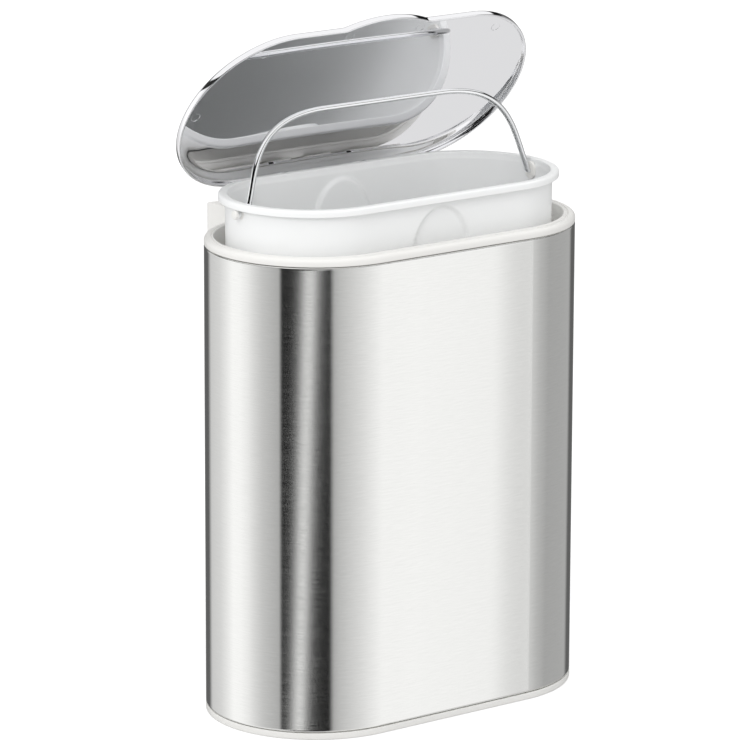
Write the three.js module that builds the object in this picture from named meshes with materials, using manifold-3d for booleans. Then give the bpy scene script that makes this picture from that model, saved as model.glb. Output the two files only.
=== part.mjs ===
// Sanitary bin with a flat-sided oval steel sleeve, a lift-out bucket on a wire bail and a hinged lid.
// Millimetres, +Z up. X runs along the long side, the lid's finger tab faces -Y and the hinge is on +Y.
// The origin is at the middle of the flat underside of the base.

import * as THREE from 'three';
import { mergeVertices } from 'three/addons/utils/BufferGeometryUtils.js';
import Module from 'manifold-3d';

const wasm = await Module();
wasm.setup();

// Driving dimensions

// Clearances shared by neighbouring pieces
const seatGap = 0.3;
const runningGap = 0.3;
const cutOverrun = 1;
const coreRadius = 0.02;

// The oval of the body is two half circles joined by straight sides
const bodyStraight = 55.4;
const bodyRadius = 65.8;
const ovalSides = 48;

// Steel sleeve
const sleeveHeight = 280;
const sleeveWall = 0.8;
const sleeveCurl = 2;
const sleeveBend = 1;

// Base pan
const panBandHeight = 4.1;
const panEdgeRound = 1;
const panFloor = 3.4;
const panCollarHeight = 12;
const panCollarWall = 2;
const panLandWidth = 15;
const panRibWidth = 8;
const panRibCount = 3;
const panRecess = 1.2;

// Rubber pads let into the base
const padRadius = 5;
const padThickness = 1.5;
const padEdgeDistance = 8.2;
const padAngle = Math.PI / 4;

// Rim ring on top of the sleeve, with the ledge that carries the bucket
const ringHeight = 4.7;
const ringShoulder = 2.6;
const ringGrooveInset = 4.4;
const ringGrooveWidth = 0.6;
const ringGrooveDepth = 0.5;
const ringLip = 0.8;
const ringWidth = 7.4;
const openingStraightGain = 1.2;
const openingShift = 1.2;
const ledgeWidthClearance = 0.3;
const ledgeThickness = 2;
const spigotDepth = 15;
const spigotWall = 2;

// Lift-out bucket
const bucketStraightGain = 2.6;
const bucketSideGap = 7.8;
const bucketDraft = 2.4;
const bucketFloorGap = 6.95;
const bucketWall = 1.6;
const bucketFootRound = 6;
const bucketRimReach = 4;
const bucketRimHeight = 4.1;
const bucketRimWall = 1.5;
const bucketRimThickness = 2.4;
const bucketRimRound = 1.5;
const bucketRimLip = 0.4;
const bucketRaise = 33;
const fluteHalfWidth = 21.5;
const fluteHeadHeight = 31;
const fluteDepth = 2;
const fluteTopDistance = 7.5;

// Wire bail with its bushes in the bucket's end walls and its end caps
const bailWireRadius = 1.75;
const bailRimInset = 0.4;
const bailFoldedRise = 8;
const bailPivotDepth = 7.1;
const bailLegInset = 5.6;
const bailLegLean = 8;
const bailLegReach = 25;
const bailCornerRun = 60.3;
const bailCornerLean = 7.9;
const bailLean = THREE.MathUtils.degToRad(7.4);
const bailSides = 10;
const bailSteps = 46;
const bushFlangeThickness = 1.6;
const bushHalfWidth = 4;
const bushHalfHeight = 5.4;
const bushBarrelRadius = 3.1;
const capRadius = 2.7;
const capThickness = 2.2;
const capStandOff = 2.9;
const capNotchClearance = 2.3;

// Lid with its hinge arms
const lidStraightGain = 8.9;
const lidInset = 6.3;
const lidEdgeHeight = 4.9;
const lidSkirtDepth = 3;
const lidSkirtWall = 2;
const lidShoulder = 2.2;
const lidCrown = 2.6;
const lidCrownFlat = 8;
const lidInnerRound = 1;
const lidOpenAngle = THREE.MathUtils.degToRad(56.5);
const tabHalfWidth = 30;
const tabReach = 6;
const tabInset = 2.2;
const armCentre = 29;
const armWidth = 10;
const armEyeRadius = 5.4;
const armOverlap = 2;
const armThickness = 4.2;
const armTopDrop = 0.55;
const armNeckAngle = Math.PI / 4;

// Hinge housing behind the sleeve
const hingeDistance = 15.6;
const hingeRise = 1.9;
const housingHalfWidth = 74;
const housingHeight = 48;
const knuckleRadius = 5.8;
const housingCornerRadius = 4;
const housingTopRound = 1.5;
const housingWall = 3;
const housingHeelReach = 9;
const housingHeelRise = 21;
const housingHeelEase = 3;
const slotClearance = 1.7;
const slotDepth = 6.2;
const notchHalfWidth = 7.2;

// Hinge pin, its plug, and the damper between the two inner knuckles
const pinRadius = 2;
const pinArmOverhang = 20;
const pinPlugGap = 4;
const plugLength = 4;
const plugHeadRadius = 3.2;
const plugHeadThickness = 1;
const damperRadius = 5.2;
const damperStubRadius = 4;
const damperDrumShare = 0.6;
const damperFootHalfWidth = 2.4;
const damperFootInset = 0.8;

// Screws that hold the housing through the sleeve to a backing plate
const screwPlaceShares = [-1, -0.34, 0.34, 1];
const screwEndDistance = 28;
const screwRise = 12.8;
const screwRadius = 1.5;
const screwLength = 16;
const screwHeadRadius = 3.4;
const screwHeadHeight = 2.1;
const screwHoleRadius = 1.9;
const screwBossRadius = 4;
const plateEndMargin = 7;
const plateHeight = 14;
const plateThickness = 1.5;

// Facets of round pieces and steps of rounded corners
const roundSides = 16;
const smallSides = 12;
const cornerSteps = 3;
const shoulderSteps = 4;
const crownSteps = 4;

// Levels and places worked out from the driving dimensions

const openingStraight = bodyStraight + openingStraightGain;
const openingRadius = bodyRadius - ringWidth;
const ringGrooveRadius = bodyRadius - ringGrooveInset;
const bucketStraight = bodyStraight + bucketStraightGain;
const bucketRadius = openingRadius - bucketSideGap;
const bucketFootRadius = bucketRadius - bucketDraft;
const bucketRimRadius = bucketRadius + bucketRimReach;
const lidStraight = bodyStraight + lidStraightGain;
const lidRadius = bodyRadius - lidInset;
const bailHeight = bucketRimRadius - bailRimInset;
const bailLegDistance = bucketStraight + bucketRadius - bailLegInset;
const bailTopHalf = bailLegDistance - bailCornerRun;
const bailCornerReach = bailLegDistance - bailCornerLean;
const pinShortEnd = armCentre + armWidth / 2 + pinArmOverhang;
const pinLongEnd = housingHalfWidth - plugLength - pinPlugGap;
const screwSpread = housingHalfWidth - screwEndDistance;
const plateHalfLength = screwSpread + plateEndMargin;

const sleeveBottom = panBandHeight + seatGap;
const sleeveTop = sleeveBottom + sleeveHeight;
const ringSeat = sleeveTop + seatGap;
const ringTop = ringSeat + ringHeight;
const innerFit = bodyRadius - sleeveCurl - seatGap;
const lidLip = ringTop + seatGap;
const hingeAxisY = bodyRadius + hingeDistance;
const hingeAxisZ = ringTop + hingeRise;
const housingFront = bodyRadius + seatGap;
const bucketSeatedTop = lidLip + lidSkirtDepth - seatGap * 2 - bailWireRadius - bailFoldedRise;
const bucketHeight = bucketSeatedTop - panFloor - bucketFloorGap;
const bucketTop = bucketSeatedTop + bucketRaise;
const bucketBottom = bucketTop - bucketHeight;
const ledgeTop = bucketSeatedTop - bucketRimHeight - seatGap;
const pivotZ = bucketTop - bailPivotDepth;
const housingTop = hingeAxisZ + knuckleRadius;
const housingFoot = housingTop - housingHeight;
const housingBack = hingeAxisY + knuckleRadius;
const screwZ = housingFoot + screwRise;

// Finishes

const finishes = {
  brushedSteel: { color: 0xc9c9c6, roughness: 0.34, metalness: 1 },
  chromedLid: { color: 0xd9dadb, roughness: 0.08, metalness: 1 },
  chromedWire: { color: 0xd4d5d6, roughness: 0.1, metalness: 1 },
  zincSteel: { color: 0xb4b6b8, roughness: 0.4, metalness: 1 },
  whitePlastic: { color: 0xf2f2ef, roughness: 0.42, metalness: 0 },
  bucketPlastic: { color: 0xeef0f2, roughness: 0.5, metalness: 0 },
  greyPlastic: { color: 0xa9acae, roughness: 0.5, metalness: 0 },
  greyRubber: { color: 0x8d8f90, roughness: 0.85, metalness: 0 },
};

// Solids and meshes

/** A geometry with only shared positions and no collapsed triangles, ready for a boolean. */
function weld(geometry) {
  const bare = new THREE.BufferGeometry();
  bare.setAttribute('position', geometry.attributes.position.clone());
  if (geometry.index) bare.setIndex(geometry.index.clone());
  const merged = mergeVertices(bare, 1e-4);
  const index = merged.index.array;
  const kept = [];
  for (let i = 0; i < index.length; i += 3) {
    const [a, b, c] = [index[i], index[i + 1], index[i + 2]];
    if (a !== b && b !== c && c !== a) kept.push(a, b, c);
  }
  merged.setIndex(kept);
  return merged;
}

/** The solid bounded by a closed geometry. */
function solid(geometry) {
  const merged = weld(geometry);
  const mesh = new wasm.Mesh({
    numProp: 3,
    vertProperties: new Float32Array(merged.attributes.position.array),
    triVerts: new Uint32Array(merged.index.array),
  });
  return new wasm.Manifold(mesh);
}

/** The geometry of a solid's surface. */
function surface(body) {
  const mesh = body.getMesh();
  const geometry = new THREE.BufferGeometry();
  geometry.setAttribute('position', new THREE.BufferAttribute(new Float32Array(mesh.vertProperties), 3));
  geometry.setIndex(new THREE.BufferAttribute(new Uint32Array(mesh.triVerts), 1));
  geometry.computeVertexNormals();
  return geometry;
}

/** Adds one named piece to a group. */
function addPiece(group, name, body, finish) {
  const mesh = new THREE.Mesh(surface(body), new THREE.MeshStandardMaterial(finishes[finish]));
  mesh.name = name;
  group.add(mesh);
}

/** A quarter round from one direction to another, as profile points. */
function roundPoints(centreX, centreY, radius, fromAngle, toAngle, steps) {
  const points = [];
  for (let i = 0; i <= steps; i += 1) {
    const angle = fromAngle + ((toAngle - fromAngle) * i) / steps;
    points.push([centreX + radius * Math.cos(angle), centreY + radius * Math.sin(angle)]);
  }
  return points;
}

/**
 * A profile of (radius, height) turned round and pulled apart along X into a flat-sided oval.
 * ovalAt(radius) gives the half length of the straight side and the shift along Y at that radius.
 * The facets touch the true arc at their middles, so the oval has its full length and width.
 */
function turnedOval(profile, ovalAt) {
  const points = profile.map(([radius, height]) => new THREE.Vector2(radius, height));
  const geometry = new THREE.LatheGeometry(points, ovalSides, Math.PI / ovalSides);
  geometry.rotateX(Math.PI / 2);
  const place = geometry.attributes.position;
  const roundness = Math.cos(Math.PI / ovalSides);
  for (let i = 0; i < place.count; i += 1) {
    const x = place.getX(i);
    const y = place.getY(i);
    const radius = Math.hypot(x, y);
    const { straight, shift } = ovalAt(radius);
    const side = radius > coreRadius ? Math.sign(x) : 0;
    place.setXY(i, x / roundness + side * straight, y / roundness + shift);
  }
  return solid(geometry);
}

/** The oval of one constant straight side. */
function evenOval(straight, shift) {
  return () => ({ straight, shift });
}

/** A value read off a table of (key, value) rows with straight lines between them. */
function between(rows, key) {
  const sorted = [...rows].sort((a, b) => a[0] - b[0]);
  if (key <= sorted[0][0]) return sorted[0][1];
  for (let i = 1; i < sorted.length; i += 1) {
    const [k0, v0] = sorted[i - 1];
    const [k1, v1] = sorted[i];
    if (key <= k1) return v0 + ((v1 - v0) * (key - k0)) / (k1 - k0);
  }
  return sorted[sorted.length - 1][1];
}

/** A cylinder along one axis from one place to another. */
function rod(axis, from, to, radius, sides, centre) {
  const geometry = new THREE.CylinderGeometry(radius, radius, to - from, sides);
  if (axis === 'x') geometry.rotateZ(-Math.PI / 2);
  if (axis === 'z') geometry.rotateX(Math.PI / 2);
  const middle = (from + to) / 2;
  const at = new THREE.Vector3(...centre);
  at[axis] = middle;
  geometry.translate(at.x, at.y, at.z);
  return solid(geometry);
}

/** A profile of (radius, place along X) turned round a line along X through a centre. */
function spindle(profile, sides, centre) {
  const points = profile.map(([radius, along]) => new THREE.Vector2(radius, along));
  const geometry = new THREE.LatheGeometry(points, sides);
  geometry.rotateZ(-Math.PI / 2);
  geometry.translate(...centre);
  return solid(geometry);
}

/** A box from its lowest to its highest corner. */
function block(low, high) {
  const size = high.map((value, i) => value - low[i]);
  const geometry = new THREE.BoxGeometry(...size);
  geometry.translate(...low.map((value, i) => value + size[i] / 2));
  return solid(geometry);
}

/** A shape drawn in plan and raised from one height to another. */
function raised(shape, from, to) {
  const geometry = new THREE.ExtrudeGeometry(shape, {
    depth: to - from,
    bevelEnabled: false,
    curveSegments: roundSides,
  });
  geometry.translate(0, 0, from);
  return solid(geometry);
}

/** A side view drawn in (y, z) and carried along X from one place to another. */
function acrossX(shape, from, to) {
  const geometry = new THREE.ExtrudeGeometry(shape, {
    depth: to - from,
    bevelEnabled: false,
    curveSegments: roundSides,
  });
  geometry.rotateZ(Math.PI / 2);
  geometry.rotateY(Math.PI / 2);
  geometry.translate(from, 0, 0);
  return solid(geometry);
}

const bodyOval = evenOval(bodyStraight, 0);

// Base pan

const base = new THREE.Group();

/** The moulded pan: a band under the sleeve, a collar inside it, and ribs and lands below. */
function basePan() {
  const collarInner = innerFit - panCollarWall;
  const edgeCentre = bodyRadius - panEdgeRound;
  const profile = [
    [0, 0],
    [edgeCentre, 0],
    ...roundPoints(edgeCentre, panEdgeRound, panEdgeRound, -Math.PI / 2, 0, cornerSteps).slice(1),
    [bodyRadius, panBandHeight],
    [innerFit, panBandHeight],
    [innerFit, panBandHeight + panCollarHeight],
    [collarInner, panBandHeight + panCollarHeight],
    [collarInner, panFloor],
    [0, panFloor],
  ];
  let pan = turnedOval(profile, bodyOval);
  const inner = bodyRadius - panLandWidth;
  const recessProfile = [[0, -cutOverrun], [inner, -cutOverrun], [inner, panRecess], [0, panRecess]];
  const recess = turnedOval(recessProfile, bodyOval);
  let ribs = null;
  for (let i = 0; i < panRibCount; i += 1) {
    const middle = bodyStraight * (i - (panRibCount - 1) / 2);
    const rib = block(
      [middle - panRibWidth / 2, -bodyRadius, -cutOverrun],
      [middle + panRibWidth / 2, bodyRadius, panRecess + cutOverrun],
    );
    ribs = ribs ? ribs.add(rib) : rib;
  }
  pan = pan.subtract(recess.subtract(ribs));
  for (const [x, y] of padPlaces()) {
    const pocket = rod('z', -cutOverrun, padThickness + seatGap, padRadius + seatGap, smallSides, [x, y, 0]);
    pan = pan.subtract(pocket);
  }
  return pan;
}

/** The middles of the four pads, under the rounded ends. */
function padPlaces() {
  const distance = bodyRadius - padEdgeDistance;
  const x = bodyStraight + distance * Math.cos(padAngle);
  const y = distance * Math.sin(padAngle);
  return [[-x, -y], [x, -y], [x, y], [-x, y]];
}

addPiece(base, 'base_pan', basePan(), 'whitePlastic');

padPlaces().forEach(([x, y], i) => {
  const pad = rod('z', 0, padThickness, padRadius, smallSides, [x, y, 0]);
  addPiece(base, `rubber_pad_${i + 1}`, pad, 'greyRubber');
});

// Steel sleeve

/** The places of the housing's screws along X. */
function screwPlaces() {
  return screwPlaceShares.map((share) => share * screwSpread);
}

/** The folded sleeve, whose two edges turn inwards, with its screw holes at the back. */
function steelSleeve() {
  const inner = bodyRadius - sleeveWall;
  const curl = bodyRadius - sleeveCurl;
  const bendIn = bodyRadius - sleeveBend;
  const profile = [
    ...roundPoints(bendIn, sleeveBottom + sleeveBend, sleeveBend, -Math.PI / 2, 0, cornerSteps),
    ...roundPoints(bendIn, sleeveTop - sleeveBend, sleeveBend, 0, Math.PI / 2, cornerSteps),
    [curl, sleeveTop],
    [curl, sleeveTop - sleeveWall],
    [bendIn, sleeveTop - sleeveWall],
    [inner, sleeveTop - sleeveBend],
    [inner, sleeveBottom + sleeveBend],
    [bendIn, sleeveBottom + sleeveWall],
    [curl, sleeveBottom + sleeveWall],
    [curl, sleeveBottom],
    [bendIn, sleeveBottom],
  ];
  let sleeve = turnedOval(profile, bodyOval);
  for (const x of screwPlaces()) {
    const centre = [x, 0, screwZ];
    const hole = rod('y', inner - cutOverrun, bodyRadius + cutOverrun, screwHoleRadius, smallSides, centre);
    sleeve = sleeve.subtract(hole);
  }
  return sleeve;
}

addPiece(base, 'steel_sleeve', steelSleeve(), 'brushedSteel');

// Rim ring

const ledgeRadius = bucketRadius + ledgeWidthClearance;

/** The straight side and shift of the rim ring, which change from its outer edge to its opening. */
function ringOval(radius) {
  const spigotInner = innerFit - spigotWall;
  const straightRows = [
    [ledgeRadius, bucketStraight],
    [openingRadius, openingStraight],
    [spigotInner, bodyStraight],
  ];
  const shiftRows = [[openingRadius, openingShift], [spigotInner, 0]];
  return { straight: between(straightRows, radius), shift: between(shiftRows, radius) };
}

/** The ring: a rounded top with a fine groove, the ledge for the bucket and a spigot in the sleeve. */
function rimRing() {
  const spigotInner = innerFit - spigotWall;
  const grooveOuter = ringGrooveRadius + ringGrooveWidth / 2;
  const grooveInner = ringGrooveRadius - ringGrooveWidth / 2;
  const shoulderX = bodyRadius - ringShoulder;
  const shoulderZ = ringTop - ringShoulder;
  const lipX = openingRadius + ringLip;
  const profile = [
    [bodyRadius, ringSeat],
    ...roundPoints(shoulderX, shoulderZ, ringShoulder, 0, Math.PI / 2, shoulderSteps),
    [grooveOuter, ringTop],
    [grooveOuter, ringTop - ringGrooveDepth],
    [grooveInner, ringTop - ringGrooveDepth],
    [grooveInner, ringTop],
    ...roundPoints(lipX, ringTop - ringLip, ringLip, Math.PI / 2, Math.PI, cornerSteps),
    [openingRadius, ledgeTop],
    [ledgeRadius, ledgeTop],
    [ledgeRadius, ledgeTop - ledgeThickness],
    [spigotInner, ledgeTop - ledgeThickness],
    [spigotInner, ringSeat - spigotDepth],
    [innerFit, ringSeat - spigotDepth],
    [innerFit, ringSeat],
    [bodyRadius, ringSeat],
  ];
  let ring = turnedOval(profile, ringOval);
  const notchHalf = capRadius + capNotchClearance;
  const notchEnd = openingStraight + openingRadius - seatGap;
  for (const side of [-1, 1]) {
    const ends = [side * (bucketStraight + bucketRadius), side * notchEnd];
    const notch = block(
      [Math.min(...ends), openingShift - notchHalf, ledgeTop - ledgeThickness - cutOverrun],
      [Math.max(...ends), openingShift + notchHalf, ledgeTop + cutOverrun],
    );
    ring = ring.subtract(notch);
  }
  return ring;
}

addPiece(base, 'rim_ring', rimRing(), 'whitePlastic');

// Hinge housing

/** The housing's side view, drawn in (y, z), grown inwards by a wall. */
function housingSide(wall) {
  const front = housingFront;
  const back = housingBack - wall;
  const top = housingTop;
  const foot = housingFoot + wall;
  const heelTop = foot + housingHeelRise;
  const shape = new THREE.Shape();
  shape.moveTo(front, foot);
  shape.lineTo(front + housingHeelReach - wall, foot);
  shape.bezierCurveTo(
    front + housingHeelReach + housingHeelEase, foot,
    back, heelTop - housingHeelReach,
    back, heelTop,
  );
  if (wall > 0) {
    shape.lineTo(back, hingeAxisZ - slotDepth - wall);
    shape.lineTo(front, hingeAxisZ - slotDepth - wall);
  } else {
    shape.lineTo(back, hingeAxisZ);
    shape.absarc(hingeAxisY, hingeAxisZ, knuckleRadius, 0, Math.PI / 2, false);
    const roundY = front + housingTopRound;
    shape.lineTo(roundY, top);
    shape.absarc(roundY, top - housingTopRound, housingTopRound, Math.PI / 2, Math.PI, false);
  }
  shape.closePath();
  return shape;
}

/** A rectangle in plan whose back corners are rounded. */
function housingPlan() {
  const front = housingFront - cutOverrun;
  const shape = new THREE.Shape();
  shape.moveTo(-housingHalfWidth, front);
  shape.lineTo(housingHalfWidth, front);
  shape.lineTo(housingHalfWidth, housingBack - housingCornerRadius);
  const roundX = housingHalfWidth - housingCornerRadius;
  const roundY = housingBack - housingCornerRadius;
  shape.absarc(roundX, roundY, housingCornerRadius, 0, Math.PI / 2, false);
  shape.absarc(-roundX, roundY, housingCornerRadius, Math.PI / 2, Math.PI, false);
  shape.closePath();
  return shape;
}

/** The hollow housing with its knuckles, arm slots, damper notch, screw bosses and pin bore. */
function hingeHousing() {
  const plan = raised(housingPlan(), housingFoot - cutOverrun, housingTop + cutOverrun);
  let housing = acrossX(housingSide(0), -housingHalfWidth, housingHalfWidth).intersect(plan);
  const hollowHalf = housingHalfWidth - housingWall;
  let hollow = acrossX(housingSide(housingWall), -hollowHalf, hollowHalf);
  const mouth = block(
    [-hollowHalf, housingFront - cutOverrun, housingFoot + housingWall],
    [hollowHalf, housingFront + cutOverrun, hingeAxisZ - slotDepth - housingWall],
  );
  hollow = hollow.add(mouth);
  for (const x of screwPlaces()) {
    const centre = [x, 0, screwZ];
    const pilotEnd = bodyRadius + screwLength + cutOverrun;
    const boss = rod('y', housingFront, housingBack, screwBossRadius, smallSides, centre);
    const pilot = rod('y', housingFront - cutOverrun, pilotEnd, screwHoleRadius, smallSides, centre);
    hollow = hollow.subtract(boss).add(pilot);
  }
  housing = housing.subtract(hollow);
  const slotHalf = armWidth / 2 + slotClearance;
  const slots = [[-armCentre, slotHalf], [armCentre, slotHalf], [0, notchHalfWidth]];
  for (const [middle, half] of slots) {
    const slot = block(
      [middle - half, housingFront - cutOverrun, hingeAxisZ - slotDepth],
      [middle + half, housingBack + cutOverrun, housingTop + cutOverrun],
    );
    housing = housing.subtract(slot);
  }
  const boreStart = -pinShortEnd - cutOverrun;
  const boreEnd = housingHalfWidth + cutOverrun;
  const axis = [0, hingeAxisY, hingeAxisZ];
  return housing.subtract(rod('x', boreStart, boreEnd, pinRadius + runningGap, smallSides, axis));
}

addPiece(base, 'hinge_housing', hingeHousing(), 'whitePlastic');

/** The plug that closes the housing's pin bore. */
function pinPlug() {
  const start = housingHalfWidth - plugLength;
  const face = housingHalfWidth + seatGap;
  const end = face + plugHeadThickness;
  const profile = [[0, start], [pinRadius, start], [pinRadius, face], [plugHeadRadius, face],
    [plugHeadRadius, end], [0, end]];
  return spindle(profile, smallSides, [0, hingeAxisY, hingeAxisZ]);
}

addPiece(base, 'pin_plug', pinPlug(), 'whitePlastic');

/** The grease damper: a drum and a stub round the pin, with the foot that stops it turning. */
function damper() {
  const half = notchHalfWidth - runningGap;
  const split = 2 * half * damperDrumShare - half;
  const bore = pinRadius + runningGap;
  const profile = [[bore, -half], [damperRadius, -half], [damperRadius, split], [damperStubRadius, split],
    [damperStubRadius, half], [bore, half], [bore, -half]];
  const centre = [0, hingeAxisY, hingeAxisZ];
  const foot = block(
    [damperFootInset - half, hingeAxisY - damperFootHalfWidth, hingeAxisZ - slotDepth + seatGap],
    [split - damperFootInset, hingeAxisY + damperFootHalfWidth, hingeAxisZ - damperStubRadius],
  );
  return spindle(profile, roundSides, centre).add(foot);
}

addPiece(base, 'lid_damper', damper(), 'greyPlastic');

/** The plate inside the sleeve that the housing's screws pull against. */
function backingPlate() {
  const outer = bodyRadius - sleeveWall - seatGap;
  let plate = block(
    [-plateHalfLength, outer - plateThickness, screwZ - plateHeight / 2],
    [plateHalfLength, outer, screwZ + plateHeight / 2],
  );
  for (const x of screwPlaces()) {
    const start = outer - plateThickness - cutOverrun;
    const centre = [x, 0, screwZ];
    plate = plate.subtract(rod('y', start, outer + cutOverrun, screwHoleRadius, smallSides, centre));
  }
  return plate;
}

addPiece(base, 'backing_plate', backingPlate(), 'zincSteel');

/** One screw, driven from inside the sleeve towards +Y. */
function housingScrew(x) {
  const headSeat = bodyRadius - sleeveWall - seatGap - plateThickness - seatGap;
  const tip = bodyRadius + screwLength;
  const centre = [x, 0, screwZ];
  const shank = rod('y', headSeat - screwHeadHeight / 2, tip, screwRadius, smallSides, centre);
  const head = rod('y', headSeat - screwHeadHeight, headSeat, screwHeadRadius, smallSides, centre);
  return shank.add(head);
}

screwPlaces().forEach((x, i) => {
  addPiece(base, `housing_screw_${i + 1}`, housingScrew(x), 'zincSteel');
});

// Bucket

const bucket = new THREE.Group();
bucket.position.set(0, openingShift, bucketBottom);
const bucketOval = evenOval(bucketStraight, 0);

/** The outer radius of the bucket's wall at a height above its bottom. */
function bucketWallRadius(height) {
  return bucketFootRadius + ((bucketRadius - bucketFootRadius) * height) / bucketHeight;
}

/** A tall arch on a long wall, drawn in (x, z): straight sides and half an ellipse as its head. */
function fluteShape(halfWidth, top) {
  const shape = new THREE.Shape();
  shape.moveTo(-halfWidth, -bucketFootRound);
  shape.lineTo(halfWidth, -bucketFootRound);
  shape.absellipse(0, top - fluteHeadHeight, halfWidth, fluteHeadHeight, 0, Math.PI, false);
  shape.closePath();
  return shape;
}

/** Both flutes as solids that stand in from the long walls by a depth. */
function flutes(grow, wallRadius) {
  const shape = fluteShape(fluteHalfWidth + grow, bucketHeight - fluteTopDistance + grow);
  const geometry = new THREE.ExtrudeGeometry(shape, {
    depth: bucketRadius,
    bevelEnabled: false,
    curveSegments: smallSides,
  });
  geometry.rotateX(Math.PI / 2);
  const front = solid(geometry.clone().translate(0, -(wallRadius - fluteDepth - grow), 0));
  const back = solid(geometry.clone().translate(0, bucketRadius + wallRadius - fluteDepth - grow, 0));
  return front.add(back);
}

/** The open bucket with its rolled rim, its tapering walls and the flutes that stiffen them. */
function bucketShell() {
  const rimInner = bucketRadius - bucketWall;
  const footCentre = bucketFootRadius - bucketFootRound;
  const innerRound = bucketFootRound - bucketWall;
  const outerProfile = [
    [0, 0],
    [footCentre, 0],
    ...roundPoints(footCentre, bucketFootRound, bucketFootRound, -Math.PI / 2, 0, shoulderSteps).slice(1),
    [bucketRadius, bucketHeight - bucketRimRound],
    [bucketRadius, bucketHeight - bucketRimRound / 2],
    [0, bucketHeight - bucketRimRound / 2],
  ];
  const cavityProfile = [
    [0, bucketWall],
    [footCentre, bucketWall],
    ...roundPoints(footCentre, bucketFootRound, innerRound, -Math.PI / 2, 0, shoulderSteps).slice(1),
    [rimInner, bucketHeight + cutOverrun],
    [0, bucketHeight + cutOverrun],
  ];
  const rimLip = rimInner + bucketRimLip;
  const lipRound = bucketRimRound / 2;
  const outerRoundX = bucketRimRadius - bucketRimRound;
  const outerRoundZ = bucketHeight - bucketRimRound;
  const rimProfile = [
    [rimLip, bucketHeight - bucketRimRound],
    ...roundPoints(rimLip + lipRound, bucketHeight - lipRound, lipRound, Math.PI, Math.PI / 2, cornerSteps),
    ...roundPoints(outerRoundX, outerRoundZ, bucketRimRound, Math.PI / 2, 0, shoulderSteps),
    [bucketRimRadius, bucketHeight - bucketRimHeight],
    [bucketRimRadius - bucketRimWall, bucketHeight - bucketRimHeight],
    [bucketRimRadius - bucketRimWall, bucketHeight - bucketRimThickness],
    [bucketRadius - bucketWall / 2, bucketHeight - bucketRimThickness],
    [rimLip, bucketHeight - bucketRimRound],
  ].reverse();
  const middleRadius = bucketWallRadius(bucketHeight / 2);
  const outer = turnedOval(outerProfile, bucketOval).subtract(flutes(0, middleRadius));
  const cavity = turnedOval(cavityProfile, bucketOval).subtract(flutes(bucketWall, middleRadius));
  let shell = outer.subtract(cavity).add(turnedOval(rimProfile, bucketOval));
  const outside = bucketStraight + bucketRadius + cutOverrun;
  const inside = bucketStraight + bucketFootRadius - bucketWall - cutOverrun;
  const centre = [0, 0, bucketHeight - bailPivotDepth];
  for (const side of [-1, 1]) {
    const from = Math.min(side * inside, side * outside);
    const to = Math.max(side * inside, side * outside);
    shell = shell.subtract(rod('x', from, to, bushBarrelRadius + seatGap, smallSides, centre));
  }
  return shell;
}

addPiece(bucket, 'bucket_shell', bucketShell(), 'bucketPlastic');

/** A bush in an end wall: a rounded flange inside and a barrel through the wall. */
function bailBush(side) {
  const wallOuter = bucketStraight + bucketWallRadius(bucketHeight - bailPivotDepth);
  const wallInner = wallOuter - bucketWall;
  const flangeOuter = wallInner - seatGap;
  const flangeInner = flangeOuter - bushFlangeThickness;
  const height = bucketHeight - bailPivotDepth;
  const shape = new THREE.Shape();
  shape.absarc(0, bushHalfHeight - bushHalfWidth, bushHalfWidth, 0, Math.PI, false);
  shape.absarc(0, bushHalfWidth - bushHalfHeight, bushHalfWidth, Math.PI, Math.PI * 2, false);
  shape.closePath();
  const geometry = new THREE.ExtrudeGeometry(shape, {
    depth: bushFlangeThickness,
    bevelEnabled: false,
    curveSegments: smallSides / 2,
  });
  geometry.rotateX(Math.PI / 2);
  geometry.rotateZ(Math.PI / 2);
  geometry.translate(flangeInner, 0, height);
  const flange = solid(geometry);
  const centre = [0, 0, height];
  const barrelStart = flangeInner + bushFlangeThickness / 2;
  const barrel = rod('x', barrelStart, wallOuter, bushBarrelRadius, smallSides, centre);
  const boreRadius = bailWireRadius + runningGap;
  const bore = rod('x', flangeInner - cutOverrun, wallOuter + cutOverrun, boreRadius, smallSides, centre);
  const bush = flange.add(barrel).subtract(bore);
  return side > 0 ? bush : bush.mirror([1, 0, 0]);
}

addPiece(bucket, 'bail_bush_left', bailBush(-1), 'whitePlastic');
addPiece(bucket, 'bail_bush_right', bailBush(1), 'whitePlastic');

// Bail

const bail = new THREE.Group();
bail.position.set(0, openingShift, pivotZ);
bail.rotation.x = -bailLean;

/** How far from the middle an end cap's inner face is. */
function capInnerFace() {
  return bucketStraight + bucketWallRadius(bucketHeight - bailPivotDepth) + capStandOff;
}

/** How far from the middle the wire ends, inside its cap. */
function wireTip() {
  return capInnerFace() + capThickness / 2;
}

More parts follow.
